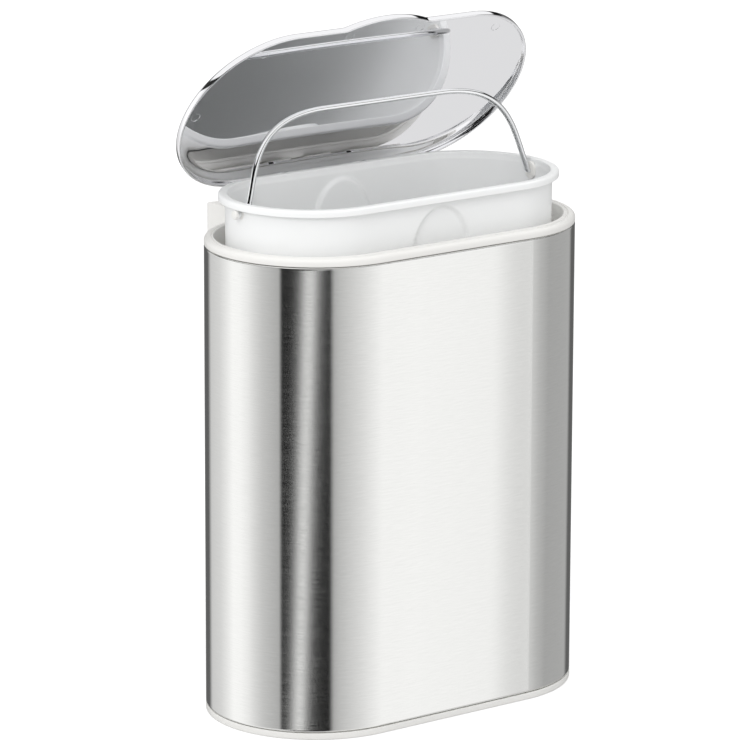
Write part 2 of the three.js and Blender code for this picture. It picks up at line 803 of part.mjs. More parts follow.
/** The wire: two legs that lean in, wide round corners, a straight top and ends turned outwards. */
function bailWire() {
  const leg = bailLegDistance;
  const corner = (side) => [
    new THREE.Vector3(side * leg, 0, bailWireRadius),
    new THREE.Vector3(side * (leg - bailLegLean), 0, bailLegReach),
    new THREE.Vector3(side * bailCornerReach, 0, bailHeight),
    new THREE.Vector3(side * bailTopHalf, 0, bailHeight),
  ];
  const path = new THREE.CurvePath();
  const left = corner(-1);
  const right = corner(1);
  path.add(new THREE.LineCurve3(new THREE.Vector3(-leg, 0, 0), left[0]));
  path.add(new THREE.CubicBezierCurve3(...left));
  path.add(new THREE.LineCurve3(left[3], right[3]));
  path.add(new THREE.CubicBezierCurve3(right[3], right[2], right[1], right[0]));
  path.add(new THREE.LineCurve3(right[0], new THREE.Vector3(leg, 0, 0)));
  const section = new THREE.Shape();
  section.absarc(0, 0, bailWireRadius, 0, Math.PI * 2, false);
  const arch = new THREE.ExtrudeGeometry(section, {
    steps: bailSteps,
    extrudePath: path,
    curveSegments: bailSides / 2,
  });
  let wire = solid(arch);
  const tip = wireTip();
  for (const side of [-1, 1]) {
    const from = Math.min(side * leg, side * tip);
    const to = Math.max(side * leg, side * tip);
    const ball = new THREE.SphereGeometry(bailWireRadius, bailSides, smallSides / 2);
    ball.translate(side * leg, 0, 0);
    wire = wire.add(solid(ball)).add(rod('x', from, to, bailWireRadius, bailSides, [0, 0, 0]));
  }
  return wire;
}

addPiece(bail, 'bail_wire', bailWire(), 'chromedWire');

/** An end cap pushed over the wire outside the wall. */
function bailCap(side) {
  const start = capInnerFace();
  const end = start + capThickness;
  const head = rod('x', start, end, capRadius, smallSides, [0, 0, 0]);
  const boreRadius = bailWireRadius + seatGap;
  const bore = rod('x', start - cutOverrun, wireTip() + seatGap, boreRadius, bailSides, [0, 0, 0]);
  const cap = head.subtract(bore);
  return side > 0 ? cap : cap.mirror([1, 0, 0]);
}

addPiece(bail, 'bail_cap_left', bailCap(-1), 'whitePlastic');
addPiece(bail, 'bail_cap_right', bailCap(1), 'whitePlastic');

// Lid, modelled closed with the hinge axis at its origin and then turned open

const lid = new THREE.Group();
lid.position.set(0, hingeAxisY, hingeAxisZ);
lid.rotation.x = -lidOpenAngle;

const lidMiddle = openingShift - hingeAxisY;
const lidBottom = lidLip - hingeAxisZ;
const lidOval = evenOval(lidStraight, lidMiddle);

/** The finger tab in plan: an arc that bulges out of the front edge, inset by a wall. */
function tabShape(inset) {
  const reach = tabReach;
  const arcRadius = (tabHalfWidth * tabHalfWidth + reach * reach) / (2 * reach);
  const front = lidMiddle - lidRadius;
  const centre = front - reach + arcRadius;
  const radius = arcRadius - inset;
  const half = tabHalfWidth - inset;
  const angle = Math.asin(half / radius);
  const shape = new THREE.Shape();
  shape.moveTo(-half, lidMiddle);
  shape.absarc(0, centre, radius, -Math.PI / 2 - angle, -Math.PI / 2 + angle, false);
  shape.lineTo(half, lidMiddle);
  shape.closePath();
  return shape;
}

/** One hinge arm in side view: an eye round the pin and a bar that runs into the lid's back edge. */
function armShape() {
  const lidBack = lidMiddle + lidRadius;
  const barTop = lidBottom + lidEdgeHeight - armTopDrop;
  const barBottom = barTop - armThickness;
  const shape = new THREE.Shape();
  shape.moveTo(lidBack - armOverlap, barBottom);
  shape.lineTo(-hingeDistance + armThickness, barBottom);
  shape.lineTo(-armEyeRadius * Math.cos(armNeckAngle), -armEyeRadius * Math.sin(armNeckAngle));
  shape.absarc(0, 0, armEyeRadius, armNeckAngle - Math.PI, Math.PI / 2, false);
  shape.lineTo(lidBack - armOverlap, barTop);
  shape.closePath();
  return shape;
}

/** The lid: a shallow skirted shell with a flat underside, its tab and its two hinge arms. */
function lidShell() {
  const top = lidBottom + lidEdgeHeight;
  const crown = [];
  for (let i = 0; i <= crownSteps; i += 1) {
    const radius = lidRadius - lidShoulder - ((lidRadius - lidShoulder - lidCrownFlat) * i) / crownSteps;
    const spread = radius / (lidRadius - lidShoulder);
    crown.push([radius, top + lidCrown * (1 - spread * spread)]);
  }
  const outerProfile = [
    [0, lidBottom],
    [lidRadius - lidInnerRound / 2, lidBottom],
    [lidRadius, lidBottom + lidInnerRound / 2],
    ...roundPoints(lidRadius - lidShoulder, top - lidShoulder, lidShoulder, 0, Math.PI / 2, shoulderSteps),
    ...crown.slice(1),
    [0, crown[crownSteps][1]],
  ];
  const cavityRadius = lidRadius - lidSkirtWall;
  const cavityTop = lidBottom + lidSkirtDepth;
  const innerRoundX = cavityRadius - lidInnerRound;
  const innerRoundZ = cavityTop - lidInnerRound;
  const cavityProfile = [
    [0, lidBottom - cutOverrun],
    [cavityRadius, lidBottom - cutOverrun],
    ...roundPoints(innerRoundX, innerRoundZ, lidInnerRound, 0, Math.PI / 2, cornerSteps),
    [0, cavityTop],
  ];
  const tabTop = top - lidShoulder / 2;
  const outer = turnedOval(outerProfile, lidOval).add(raised(tabShape(0), lidBottom, tabTop));
  const tabCavity = raised(tabShape(tabInset), lidBottom - cutOverrun, cavityTop);
  const cavity = turnedOval(cavityProfile, lidOval).add(tabCavity);
  let shell = outer.subtract(cavity);
  for (const side of [-1, 1]) {
    const middle = side * armCentre;
    shell = shell.add(acrossX(armShape(), middle - armWidth / 2, middle + armWidth / 2));
  }
  const boreEnd = armCentre + armWidth;
  return shell.subtract(rod('x', -boreEnd, boreEnd, pinRadius + seatGap, smallSides, [0, 0, 0]));
}

addPiece(lid, 'lid_shell', lidShell(), 'chromedLid');
const pin = rod('x', -pinShortEnd, pinLongEnd, pinRadius, smallSides, [0, 0, 0]);
addPiece(lid, 'hinge_pin', pin, 'zincSteel');

const bin = new THREE.Group();
bin.add(base, bucket, bail, lid);

export default bin;
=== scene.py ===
"""Sanitary bin: an oval steel sleeve, a lift-out bucket on a wire bail and a mirror-bright hinged lid."""

import math

import bmesh
import bpy
import numpy as np
from mathutils import Matrix, Vector


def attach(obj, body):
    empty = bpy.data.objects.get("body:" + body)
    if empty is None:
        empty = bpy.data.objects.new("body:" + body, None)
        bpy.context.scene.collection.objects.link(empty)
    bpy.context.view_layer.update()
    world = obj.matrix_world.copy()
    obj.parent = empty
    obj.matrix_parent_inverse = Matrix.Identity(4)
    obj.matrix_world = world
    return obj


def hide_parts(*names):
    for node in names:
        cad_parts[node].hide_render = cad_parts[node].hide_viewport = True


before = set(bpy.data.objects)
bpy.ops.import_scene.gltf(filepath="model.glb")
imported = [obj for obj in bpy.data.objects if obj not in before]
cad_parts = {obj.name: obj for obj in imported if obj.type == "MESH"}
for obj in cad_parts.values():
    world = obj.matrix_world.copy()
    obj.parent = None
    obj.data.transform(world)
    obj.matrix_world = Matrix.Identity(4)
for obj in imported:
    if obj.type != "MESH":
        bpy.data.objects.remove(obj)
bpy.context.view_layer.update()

# Base pan and pads
#
# The pan is moulded in white ABS. Its band shows as a thin line under the sleeve and its collar
# stands inside the sleeve. Four soft rubber pads are let into its underside and carry the bin.

MM = 0.001


def linear_colour(text):
    """An sRGB hex colour as linear red, green, blue and alpha."""
    parts = [int(text[i:i + 2], 16) / 255 for i in (1, 3, 5)]
    return [c / 12.92 if c <= 0.04045 else ((c + 0.055) / 1.055) ** 2.4 for c in parts] + [1.0]


def add_node(tree, kind, settings=None, links=None):
    """Adds one node. Settings are attributes or socket values, links are (socket, output) pairs."""
    node = tree.nodes.new(kind)
    for key, value in (settings or {}).items():
        if isinstance(key, str) and hasattr(node, key):
            setattr(node, key, value)
        else:
            node.inputs[key].default_value = value
    for socket, output in (links or {}).items():
        tree.links.new(output, node.inputs[socket])
    return node


def new_material(name):
    """A material with an empty node tree, and the tree."""
    material = bpy.data.materials.new(name)
    material.use_nodes = True
    material.node_tree.nodes.clear()
    return material, material.node_tree


def finish_material(tree, shader):
    """Joins a shader to the material's output."""
    add_node(tree, "ShaderNodeOutputMaterial", links={"Surface": shader.outputs[0]})


def moulded_plastic(name, colour, roughness, ior, pebble_mm, relief_mm):
    """A moulded plastic: one colour, and a fine pebble from the mould that softens its gloss."""
    material, tree = new_material(name)
    place = add_node(tree, "ShaderNodeTexCoord")
    pebble = add_node(tree, "ShaderNodeTexNoise",
                      {"Scale": 1 / (pebble_mm * MM), "Detail": 2.0, "Roughness": 0.5},
                      {"Vector": place.outputs["Object"]})
    bump = add_node(tree, "ShaderNodeBump", {"Strength": 0.35, "Distance": relief_mm * MM},
                    {"Height": pebble.outputs["Fac"]})
    shader = add_node(tree, "ShaderNodeBsdfPrincipled",
                      {"Base Color": linear_colour(colour), "Roughness": roughness, "IOR": ior},
                      {"Normal": bump.outputs["Normal"]})
    finish_material(tree, shader)
    return material


# Semi-gloss white ABS: soft broad highlights, with a pebble just fine enough to dull them.
white_abs = moulded_plastic("white_moulded_abs", "#F0EFEC", 0.34, 1.54, 1.4, 0.012)

# Moulded thermoplastic rubber: matte and a little grainy.
pad_rubber = moulded_plastic("grey_moulded_rubber", "#8D8F90", 0.85, 1.52, 0.8, 0.05)


def grid_faces(rows, columns, wrap_rows, wrap_columns):
    """Corner numbers of the quads of a grid, as an array of four columns."""
    i = np.arange(rows if wrap_rows else rows - 1)
    j = np.arange(columns if wrap_columns else columns - 1)
    i, j = [m.ravel() for m in np.meshgrid(i, j, indexing="ij")]
    i2, j2 = (i + 1) % rows, (j + 1) % columns
    return np.stack([i * columns + j, i * columns + j2, i2 * columns + j2, i2 * columns + j], axis=1)


def make_piece(name, sheets, material, sharp_degrees=32.0, uv=None):
    """One mesh object from sheets of (points in mm, wrap rows, wrap columns, first cap, last cap).

    Points are arrays of (rows, columns, 3). Doubled points are merged, so seams and poles close,
    and faces are turned outwards. A cap is one flat face over the first or last row.
    """
    weld_distance, sliver_length = 2e-7, 1e-8
    mesh = bpy.data.meshes.new(name)
    points, faces, coords = [], [], []
    start = 0
    for index, (grid, wrap_rows, wrap_columns, first_cap, last_cap) in enumerate(sheets):
        rows, columns = grid.shape[:2]
        points.append(grid.reshape(-1, 3) * MM)
        faces += (grid_faces(rows, columns, wrap_rows, wrap_columns) + start).tolist()
        if first_cap:
            faces.append((np.arange(columns)[::-1] + start).tolist())
        if last_cap:
            faces.append((np.arange(columns) + start + (rows - 1) * columns).tolist())
        if uv is not None:
            coords.append(uv[index].reshape(-1, 2))
        start += rows * columns
    mesh.from_pydata(np.concatenate(points).tolist(), [], faces)
    if uv is not None:
        flat = np.concatenate(coords)
        corners = np.empty(len(mesh.loops), dtype=np.int32)
        mesh.loops.foreach_get("vertex_index", corners)
        layer = mesh.uv_layers.new(name="perimeter")
        layer.data.foreach_set("uv", flat[corners].astype(np.float32).ravel())
    work = bmesh.new()
    work.from_mesh(mesh)
    bmesh.ops.remove_doubles(work, verts=work.verts, dist=weld_distance)
    bmesh.ops.dissolve_degenerate(work, edges=work.edges, dist=sliver_length)
    bmesh.ops.recalc_face_normals(work, faces=work.faces)
    work.to_mesh(mesh)
    work.free()
    mesh.shade_smooth()
    mesh.set_sharp_from_angle(angle=math.radians(sharp_degrees))
    mesh.materials.append(material)
    piece = bpy.data.objects.new(name, mesh)
    bpy.context.scene.collection.objects.link(piece)
    return piece


def dress(piece, body, slot, *nodes):
    """Rides a piece on its body and puts it in the place of its CAD nodes. The slot is not used."""
    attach(piece, body)
    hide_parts(*nodes)


def round_corner(centre_a, centre_b, radius, start, end, steps=6):
    """Points of an arc: centre plus radius times cosine and sine, from start to end degrees."""
    t = np.radians(np.linspace(start, end, steps + 1))
    return np.stack([centre_a + radius * np.cos(t), centre_b + radius * np.sin(t)], axis=1)


def chain(*parts):
    """Profile points from parts, each one point or an array of points."""
    return np.concatenate([np.atleast_2d(np.asarray(p, dtype=float)) for p in parts])


def oval_sweep(profile, straight, shift=0.0, arc_steps=72, side_steps=24):
    """A profile of (radius, height) carried round a flat-sided oval.

    The oval is two half circles at x = +-straight joined by straight sides. A point at angle t has
    x = sign(cos t) * straight + radius * cos t and y = shift + radius * sin t. Straight and shift are
    numbers, or arrays with one value a row.
    """
    half = np.linspace(-90, 90, arc_steps + 1)
    back, front = np.full(side_steps - 1, 90.0), np.full(side_steps - 1, 270.0)
    t = np.radians(np.concatenate([half, back, half + 180, front]))
    run = np.linspace(1, -1, side_steps + 1)[1:-1]
    side = np.concatenate([np.ones(arc_steps + 1), run, -np.ones(arc_steps + 1), -run])
    radius = profile[:, 0][:, None]
    straight = np.broadcast_to(straight, profile.shape[:1])[:, None]
    shift = np.broadcast_to(shift, profile.shape[:1])[:, None]
    x = side[None, :] * straight + radius * np.cos(t)[None, :]
    y = shift + radius * np.sin(t)[None, :]
    z = np.broadcast_to(profile[:, 1][:, None], x.shape)
    return np.stack([x, y, z], axis=2)


def turned(profile, centre, axis, steps=48):
    """A profile of (radius, place along the axis) turned once round the axis through the centre."""
    t = np.linspace(0, 2 * np.pi, steps, endpoint=False)
    radius, along = profile[:, 0][:, None], profile[:, 1][:, None]
    a, b = radius * np.cos(t), radius * np.sin(t)
    along = np.broadcast_to(along, a.shape)
    order = {"x": (along, a, b), "y": (b, along, a), "z": (a, b, along)}[axis]
    return np.stack(order, axis=2) + np.asarray(centre, dtype=float)


def rounded_bar(low, high, radius, ease, steps=4):
    """A box with rounded upright edges and eased ends: a rounded rectangle in plan at four heights."""
    (x0, y0, z0), (x1, y1, z1) = low, high
    corners = [(x1, y0, -90), (x1, y1, 0), (x0, y1, 90), (x0, y0, 180)]
    middle = np.array([(x0 + x1) / 2, (y0 + y1) / 2])
    ring = []
    for cx, cy, start in corners:
        centre = np.array([cx, cy]) - radius * np.sign(np.array([cx, cy]) - middle)
        ring.append(round_corner(centre[0], centre[1], radius, start, start + 90, steps))
    ring = np.concatenate(ring)
    size = np.array([x1 - x0, y1 - y0])
    rows = []
    for z, inset in ((z0, ease), (z0 + ease, 0), (z1 - ease, 0), (z1, ease)):
        plan = middle + (ring - middle) * (1 - 2 * inset / size)
        rows.append(np.column_stack([plan, np.full(len(plan), z)]))
    return np.array(rows)


body_straight, body_radius = 55.4, 65.8
band_height, pan_recess, land_width, pan_floor = 4.1, 1.2, 15.0, 3.4
collar_outer, collar_inner, collar_top = 63.5, 61.5, 16.1
band_round, collar_round, floor_bevel, pan_ease = 1.0, 0.4, 1.0, 0.3
land_edge = body_radius - land_width
pan_profile = chain(
    (land_edge - 2 * pan_ease, pan_recess), (land_edge, pan_recess - pan_ease),
    (land_edge, pan_ease), (land_edge + pan_ease, 0.0),
    round_corner(body_radius - band_round, band_round, band_round, -90, 0),
    round_corner(body_radius - pan_ease, band_height - pan_ease, pan_ease, 0, 90, 3),
    (collar_outer, band_height),
    round_corner(collar_outer - collar_round, collar_top - collar_round, collar_round, 0, 90, 3),
    round_corner(collar_inner + collar_round, collar_top - collar_round, collar_round, 90, 180, 3),
    (collar_inner, pan_floor + floor_bevel), (collar_inner - floor_bevel, pan_floor))
pan_sheets = [(oval_sweep(pan_profile, body_straight), False, True, True, True)]

rib_half, rib_reach, rib_height, rib_round = 4.0, 52.0, 1.6, 0.8
for rib_x in (-body_straight, 0.0, body_straight):
    rib_low, rib_high = (rib_x - rib_half, -rib_reach, 0), (rib_x + rib_half, rib_reach, rib_height)
    pan_sheets.append((rounded_bar(rib_low, rib_high, rib_round, pan_ease), False, True, True, True))
base_pan = make_piece("base_pan_moulding", pan_sheets, white_abs)
dress(base_pan, "bin_body", "white_moulding", "base_pan")

pad_radius, pad_height, pad_inset, pad_round = 5.0, 1.5, 8.2, 0.4
pad_distance = (body_radius - pad_inset) * math.sqrt(0.5)
pad_profile = chain(
    (0, 0), (pad_radius - 2 * pad_round, 0), (pad_radius - 0.75 * pad_round, 0.25 * pad_round),
    (pad_radius, pad_round), (pad_radius, pad_height), (0, pad_height))
for number, (sx, sy) in enumerate([(-1, -1), (1, -1), (1, 1), (-1, 1)], 1):
    centre = (sx * (body_straight + pad_distance), sy * pad_distance, 0)
    pad_grid = turned(pad_profile, centre, "z")
    pad = make_piece(f"pad_{number}", [(pad_grid, False, True, False, False)], pad_rubber)
    dress(pad, "bin_body", "rubber_pads", f"rubber_pad_{number}")

# Steel sleeve
#
# One strip of 0.8 mm stainless sheet, brushed along its length, bent to the oval and seam welded.
# Its two edges are turned inwards over the pan and under the ring, which leaves a small round bend.
# The sheet springs a little where each flat side runs into its round end, so it never turns sharply.

sleeve_low, sleeve_high, sleeve_wall = 4.4, 284.4, 0.8
sleeve_bend, sleeve_curl, sleeve_spring = 1.3, 2.3, 0.5
spring_flat, spring_arc = 30.0, 60.0


def brushed_steel(name, colours, roughness, grain_mm, streak_mm, relief_mm):
    """Brushed stainless: fine level scratches that spread each reflection up and down.

    The grain is noise on the piece's own map, drawn out along the perimeter and coarser than the real
    one so that it shows. Colour and roughness also follow a second grain, broader by a fixed ratio,
    and the relief follows the fine one alone. The gloss is stretched upright, across the scratches.
    """
    material, tree = new_material(name)
    broader = 2.5
    place = add_node(tree, "ShaderNodeUVMap", {"uv_map": "perimeter"})
    fine = add_node(tree, "ShaderNodeMapping", {"Scale": (1 / (streak_mm * MM), 1 / (grain_mm * MM), 1)},
                    {"Vector": place.outputs["UV"]})
    grain = add_node(tree, "ShaderNodeTexNoise", {"Scale": 1.0, "Detail": 3.0, "Roughness": 0.6},
                     {"Vector": fine.outputs["Vector"]})
    broad = add_node(tree, "ShaderNodeMapping",
                     {"Scale": (1 / (broader * streak_mm * MM), 1 / (broader * grain_mm * MM), 1)},
                     {"Vector": place.outputs["UV"]})
    bands = add_node(tree, "ShaderNodeTexNoise", {"Scale": 1.0, "Detail": 2.0, "Roughness": 0.5},
                     {"Vector": broad.outputs["Vector"]})
    both = add_node(tree, "ShaderNodeMath", {"operation": "MULTIPLY_ADD", 1: 0.35},
                    {0: bands.outputs["Fac"], 2: grain.outputs["Fac"]})
    noise_range = {"From Min": 0.4, "From Max": 1.0}
    tint = add_node(tree, "ShaderNodeMapRange", noise_range, {"Value": both.outputs[0]})
    colour = add_node(tree, "ShaderNodeMix",
                      {"data_type": "RGBA", "A": linear_colour(colours[0]), "B": linear_colour(colours[1])},
                      {"Factor": tint.outputs["Result"]})
    rough = add_node(tree, "ShaderNodeMapRange",
                     {**noise_range, "To Min": roughness[0], "To Max": roughness[1]},
                     {"Value": both.outputs[0]})
    bump = add_node(tree, "ShaderNodeBump", {"Strength": 0.45, "Distance": relief_mm * MM},
                    {"Height": grain.outputs["Fac"]})
    around = add_node(tree, "ShaderNodeTangent", {"direction_type": "RADIAL", "axis": "Z"})
    shader = add_node(tree, "ShaderNodeBsdfPrincipled",
                      {"Metallic": 1.0, "Anisotropic": 1.0, "Anisotropic Rotation": 0.25},
                      {"Base Color": colour.outputs["Result"], "Roughness": rough.outputs["Result"],
                       "Normal": bump.outputs["Normal"], "Tangent": around.outputs["Tangent"]})
    finish_material(tree, shader)
    return material


# Brushed stainless steel: bright, with crisp upright bands of light and a faint level grain.
steel = brushed_steel("brushed_stainless_steel", ("#E2E2E0", "#EAEAE8"), (0.07, 0.12), 0.55, 9.0, 0.02)

bend_in, curl_in = body_radius - sleeve_bend, body_radius - sleeve_curl
bend_low, bend_high = sleeve_low + sleeve_bend, sleeve_high - sleeve_bend

# Rows close to each bend keep its rounding out of the shading of the upright face.
close_rows, plain_rows = np.array([0.3, 0.8]), np.linspace(sleeve_low + 12, sleeve_high - 12, 9)
face_levels = np.concatenate([bend_low + close_rows, plain_rows, bend_high - close_rows[::-1]])
sleeve_profile = chain(
    (curl_in, sleeve_low), round_corner(bend_in, bend_low, sleeve_bend, -90, 0),
    np.stack([np.full(len(face_levels), body_radius), face_levels], axis=1),
    round_corner(bend_in, bend_high, sleeve_bend, 0, 90), (curl_in, sleeve_high),
    (curl_in, sleeve_high - sleeve_wall), (bend_in, sleeve_high - sleeve_wall),
    (body_radius - sleeve_wall, bend_high), (body_radius - sleeve_wall, bend_low),
    (bend_in, sleeve_low + sleeve_wall), (curl_in, sleeve_low + sleeve_wall))
sleeve_grid = oval_sweep(sleeve_profile, body_straight, arc_steps=96, side_steps=48)

# The spring moves the sheet inwards by sleeve_spring / 2 * (1 - cos(2 pi share)). The share is counted
# along the sheet from where the flat ends: it is 0 spring_flat before that and 1 spring_arc after it.
face_row = np.argmax(sleeve_profile[:, 1] > bend_low)
past_flat = np.abs(sleeve_grid[face_row, :, 0]) - body_straight
bend_angle = np.arctan2(np.clip(past_flat, 0, None), np.abs(sleeve_grid[face_row, :, 1]))
along_sheet = np.minimum(past_flat, 0) + body_radius * bend_angle
spring_share = np.clip((along_sheet + spring_flat) / (spring_flat + spring_arc), 0, 1)
set_back = sleeve_spring / 2 * (1 - np.cos(2 * np.pi * spring_share))
sleeve_grid[:, :, 0] -= np.sign(sleeve_grid[:, :, 0]) * np.sin(bend_angle) * set_back
sleeve_grid[:, :, 1] -= np.sign(sleeve_grid[:, :, 1]) * np.cos(bend_angle) * set_back
face = sleeve_grid[face_row]
lengths = np.linalg.norm(np.diff(face, axis=0, append=face[:1]), axis=1)
perimeter = np.concatenate([[0], np.cumsum(lengths)[:-1]]) * MM
sleeve_map = np.stack([np.broadcast_to(perimeter, sleeve_grid.shape[:2]), sleeve_grid[:, :, 2] * MM], axis=2)
sleeve = make_piece("sleeve_sheet", [(sleeve_grid, True, True, False, False)], steel, 40, [sleeve_map])
dress(sleeve, "bin_body", "brushed_sleeve", "steel_sleeve")

# Rim ring
#
# A white ABS moulding that plugs into the sleeve. Its rounded shoulder sits on the sleeve's edge, a
# fine groove runs round its flat top. A ledge inside its opening carries the bucket's rim and is
# notched at both ends for the bail's caps.

ring_seat, ring_top, ring_shoulder = 284.7, 289.4, 2.6
opening_radius, opening_straight, opening_shift = 58.4, 56.6, 1.2
groove_radius, groove_half, groove_depth, groove_round = 61.4, 0.3, 0.45, 0.2
ledge_top, ledge_thickness, ledge_radius, ledge_straight = 277.95, 2.0, 50.9, 58.0
spigot_outer, spigot_inner, spigot_depth = 63.5, 61.5, 15.0
lip_round, ledge_fillet, ring_ease = 0.8, 0.4, 0.3
notch_half, notch_end, notch_from = 5.4, opening_straight + opening_radius - ring_ease, 100.0
groove_out, groove_in = groove_radius + groove_half, groove_radius - groove_half
ring_profile = chain(
    round_corner(body_radius - ring_ease, ring_seat + ring_ease, ring_ease, -90, 0, 3),
    round_corner(body_radius - ring_shoulder, ring_top - ring_shoulder, ring_shoulder, 0, 90, 10),
    round_corner(groove_out + groove_round, ring_top - groove_round, groove_round, 90, 180, 3),
    (groove_out, ring_top - groove_depth), (groove_in, ring_top - groove_depth),
    round_corner(groove_in - groove_round, ring_top - groove_round, groove_round, 0, 90, 3),
    round_corner(opening_radius + lip_round, ring_top - lip_round, lip_round, 90, 180, 6),
    (opening_radius, ledge_top + ledge_fillet), (opening_radius - ledge_fillet, ledge_top),
    (ledge_radius + ring_ease, ledge_top), (ledge_radius, ledge_top - ring_ease),
    (ledge_radius, ledge_top - ledge_thickness), (spigot_inner, ledge_top - ledge_thickness),
    (spigot_inner, ring_seat - spigot_depth), (spigot_outer, ring_seat - spigot_depth),
    (spigot_outer, ring_seat))
ring_radii = ring_profile[:, 0]
ring_straight = np.interp(ring_radii, [ledge_radius, opening_radius, spigot_inner],
                          [ledge_straight, opening_straight, body_straight])
ring_shift = np.interp(ring_radii, [opening_radius, spigot_inner], [opening_shift, 0.0])
ring_grid = oval_sweep(ring_profile, ring_straight, ring_shift, arc_steps=96)
ring_x, ring_y = ring_grid[:, :, 0].copy(), ring_grid[:, :, 1]
on_ledge = (ring_radii < opening_radius - ring_ease)[:, None]
at_ends = (np.abs(ring_y - opening_shift) < notch_half) & (np.abs(ring_x) > notch_from)
ring_grid[:, :, 0] = np.where(on_ledge & at_ends, np.sign(ring_x) * notch_end, ring_x)
ring = make_piece("rim_ring_moulding", [(ring_grid, True, True, False, False)], white_abs, 40)
dress(ring, "bin_body", "white_moulding", "rim_ring")

# Hinge housing with its plug, damper, backing plate and screws
#
# The housing is one hollow ABS moulding behind the sleeve, slotted for the lid's arms and the damper.
# Screws driven from inside the sleeve pull it against a zinc plated steel plate.

hinge_y, hinge_z = 81.4, 291.3


def eased_copy(node, name, material, width_mm, sharp_degrees=32.0):
    """A merged copy of a CAD solid whose sharp edges are rounded by a bevel."""
    merge_distance, flat_degrees = 1e-6, 0.5
    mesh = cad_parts[node].data.copy()
    mesh.name = name
    mesh.materials.clear()
    mesh.materials.append(material)
    work = bmesh.new()
    work.from_mesh(mesh)
    bmesh.ops.remove_doubles(work, verts=work.verts, dist=merge_distance)
    bmesh.ops.dissolve_limit(work, angle_limit=math.radians(flat_degrees), verts=work.verts, edges=work.edges)
    work.to_mesh(mesh)
    work.free()
    mesh.shade_smooth()
    mesh.set_sharp_from_angle(angle=math.radians(sharp_degrees))
    piece = bpy.data.objects.new(name, mesh)
    bpy.context.scene.collection.objects.link(piece)
    bevel = piece.modifiers.new("eased_edges", "BEVEL")
    bevel.width = width_mm * MM
    bevel.segments = 3
    bevel.limit_method = "ANGLE"
    bevel.angle_limit = math.radians(sharp_degrees)
    bevel.harden_normals = True
    return piece


housing = eased_copy("hinge_housing", "housing_moulding", white_abs, 0.45)
dress(housing, "bin_body", "white_moulding", "hinge_housing")

plug_radius, plug_head, plug_start, plug_seat = 2.0, 3.2, 70.5, 74.3
plug_profile = chain(
    (0, plug_start), (plug_radius - 0.3, plug_start), (plug_radius, plug_start + 0.5),
    (plug_radius, plug_seat), (plug_head - 0.3, plug_seat), (plug_head, plug_seat + 0.2),
    (plug_head, plug_seat + 0.6), (plug_head - 0.4, plug_seat + 0.9), (0, plug_seat + 1.0))
plug_grid = turned(plug_profile, (0, hinge_y, hinge_z), "x")
plug = make_piece("pin_plug_moulding", [(plug_grid, False, True, False, False)], white_abs)
dress(plug, "bin_body", "white_moulding", "pin_plug")

# Grey acetal: smooth and slightly waxy.
grey_acetal = moulded_plastic("grey_moulded_acetal", "#A9ACAE", 0.42, 1.48, 1.2, 0.01)
damper = eased_copy("lid_damper", "damper_moulding", grey_acetal, 0.3)
dress(damper, "bin_body", "grey_moulding", "lid_damper")


def plated_steel(name, colour, roughness, mottle_mm):
    """Zinc plated mild steel: noise stirs the roughness between its two values."""
    material, tree = new_material(name)
    place = add_node(tree, "ShaderNodeTexCoord")
    mottle = add_node(tree, "ShaderNodeTexNoise", {"Scale": 1 / (mottle_mm * MM), "Detail": 3.0},
                      {"Vector": place.outputs["Object"]})
    rough = add_node(tree, "ShaderNodeMapRange", {"To Min": roughness[0], "To Max": roughness[1]},
                     {"Value": mottle.outputs["Fac"]})
    shader = add_node(tree, "ShaderNodeBsdfPrincipled",
                      {"Base Color": linear_colour(colour), "Metallic": 1.0},
                      {"Roughness": rough.outputs["Result"]})
    finish_material(tree, shader)
    return material


# Zinc plated steel: a soft grey metal whose gloss is broken by the plating's faint mottle.
zinc = plated_steel("zinc_plated_steel", "#BFC2C4", (0.28, 0.42), 3.0)
plate = eased_copy("backing_plate", "backing_plate_steel", zinc, 0.2)
dress(plate, "bin_body", "zinc_steel", "backing_plate")

screw_z, screw_seat, screw_spread = 261.9, 62.9, 46.0
screw_shank, screw_end, screw_point = 1.5, 81.8, 0.9

# The pan head, as radius and height over its seat.
pan_head = np.array([(0, 2.1), (1.2, 2.1), (2.4, 1.9), (3.1, 1.4), (3.4, 0.7), (3.4, 0)])
screw_profile = chain(
    np.array([0, screw_seat]) + pan_head * np.array([1, -1]), (screw_shank, screw_seat),
    (screw_shank, screw_end - 0.8), (screw_point, screw_end), (0, screw_end))
for number, share in enumerate((-1, -0.34, 0.34, 1), 1):
    screw_grid = turned(screw_profile, (screw_spread * share, 0, screw_z), "y", 32)
    screw = make_piece(f"screw_{number}", [(screw_grid, False, True, False, False)], zinc)
    dress(screw, "bin_body", "zinc_steel", f"housing_screw_{number}")

# Bucket
#
# A deep bucket in white polypropylene with a rolled rim. It tapers a little so that buckets nest, and
# a tall round-headed arch is pressed into each long wall to stiffen it.

bucket_straight, bucket_radius, bucket_foot, bucket_wall = 58.0, 50.6, 48.2, 1.6
bucket_top, bucket_bottom, foot_round, foot_inner = 315.35, 43.35, 6.0, 20.0
bucket_height = bucket_top - bucket_bottom
rim_radius, rim_height, rim_wall, rim_roof = 54.6, 4.1, 1.5, 2.4
rim_round, rim_fillet, rim_ease = 1.5, 0.4, 0.3
mouth_step, mouth_depth, mouth_round = 0.2, 3.2, 0.8
arch_half, arch_head, arch_depth, arch_top = 21.5, 31.0, 2.0, bucket_top - 7.5
arch_slope, arch_end, arch_foot, arch_fade = 1.6, bucket_top - 3.5, bucket_foot - 8, 6.0

# Polypropylene: softer and cooler than the ABS, with a broad waxy sheen.
polypropylene = moulded_plastic("white_moulded_polypropylene", "#F9FAFA", 0.4, 1.49, 1.8, 0.01)


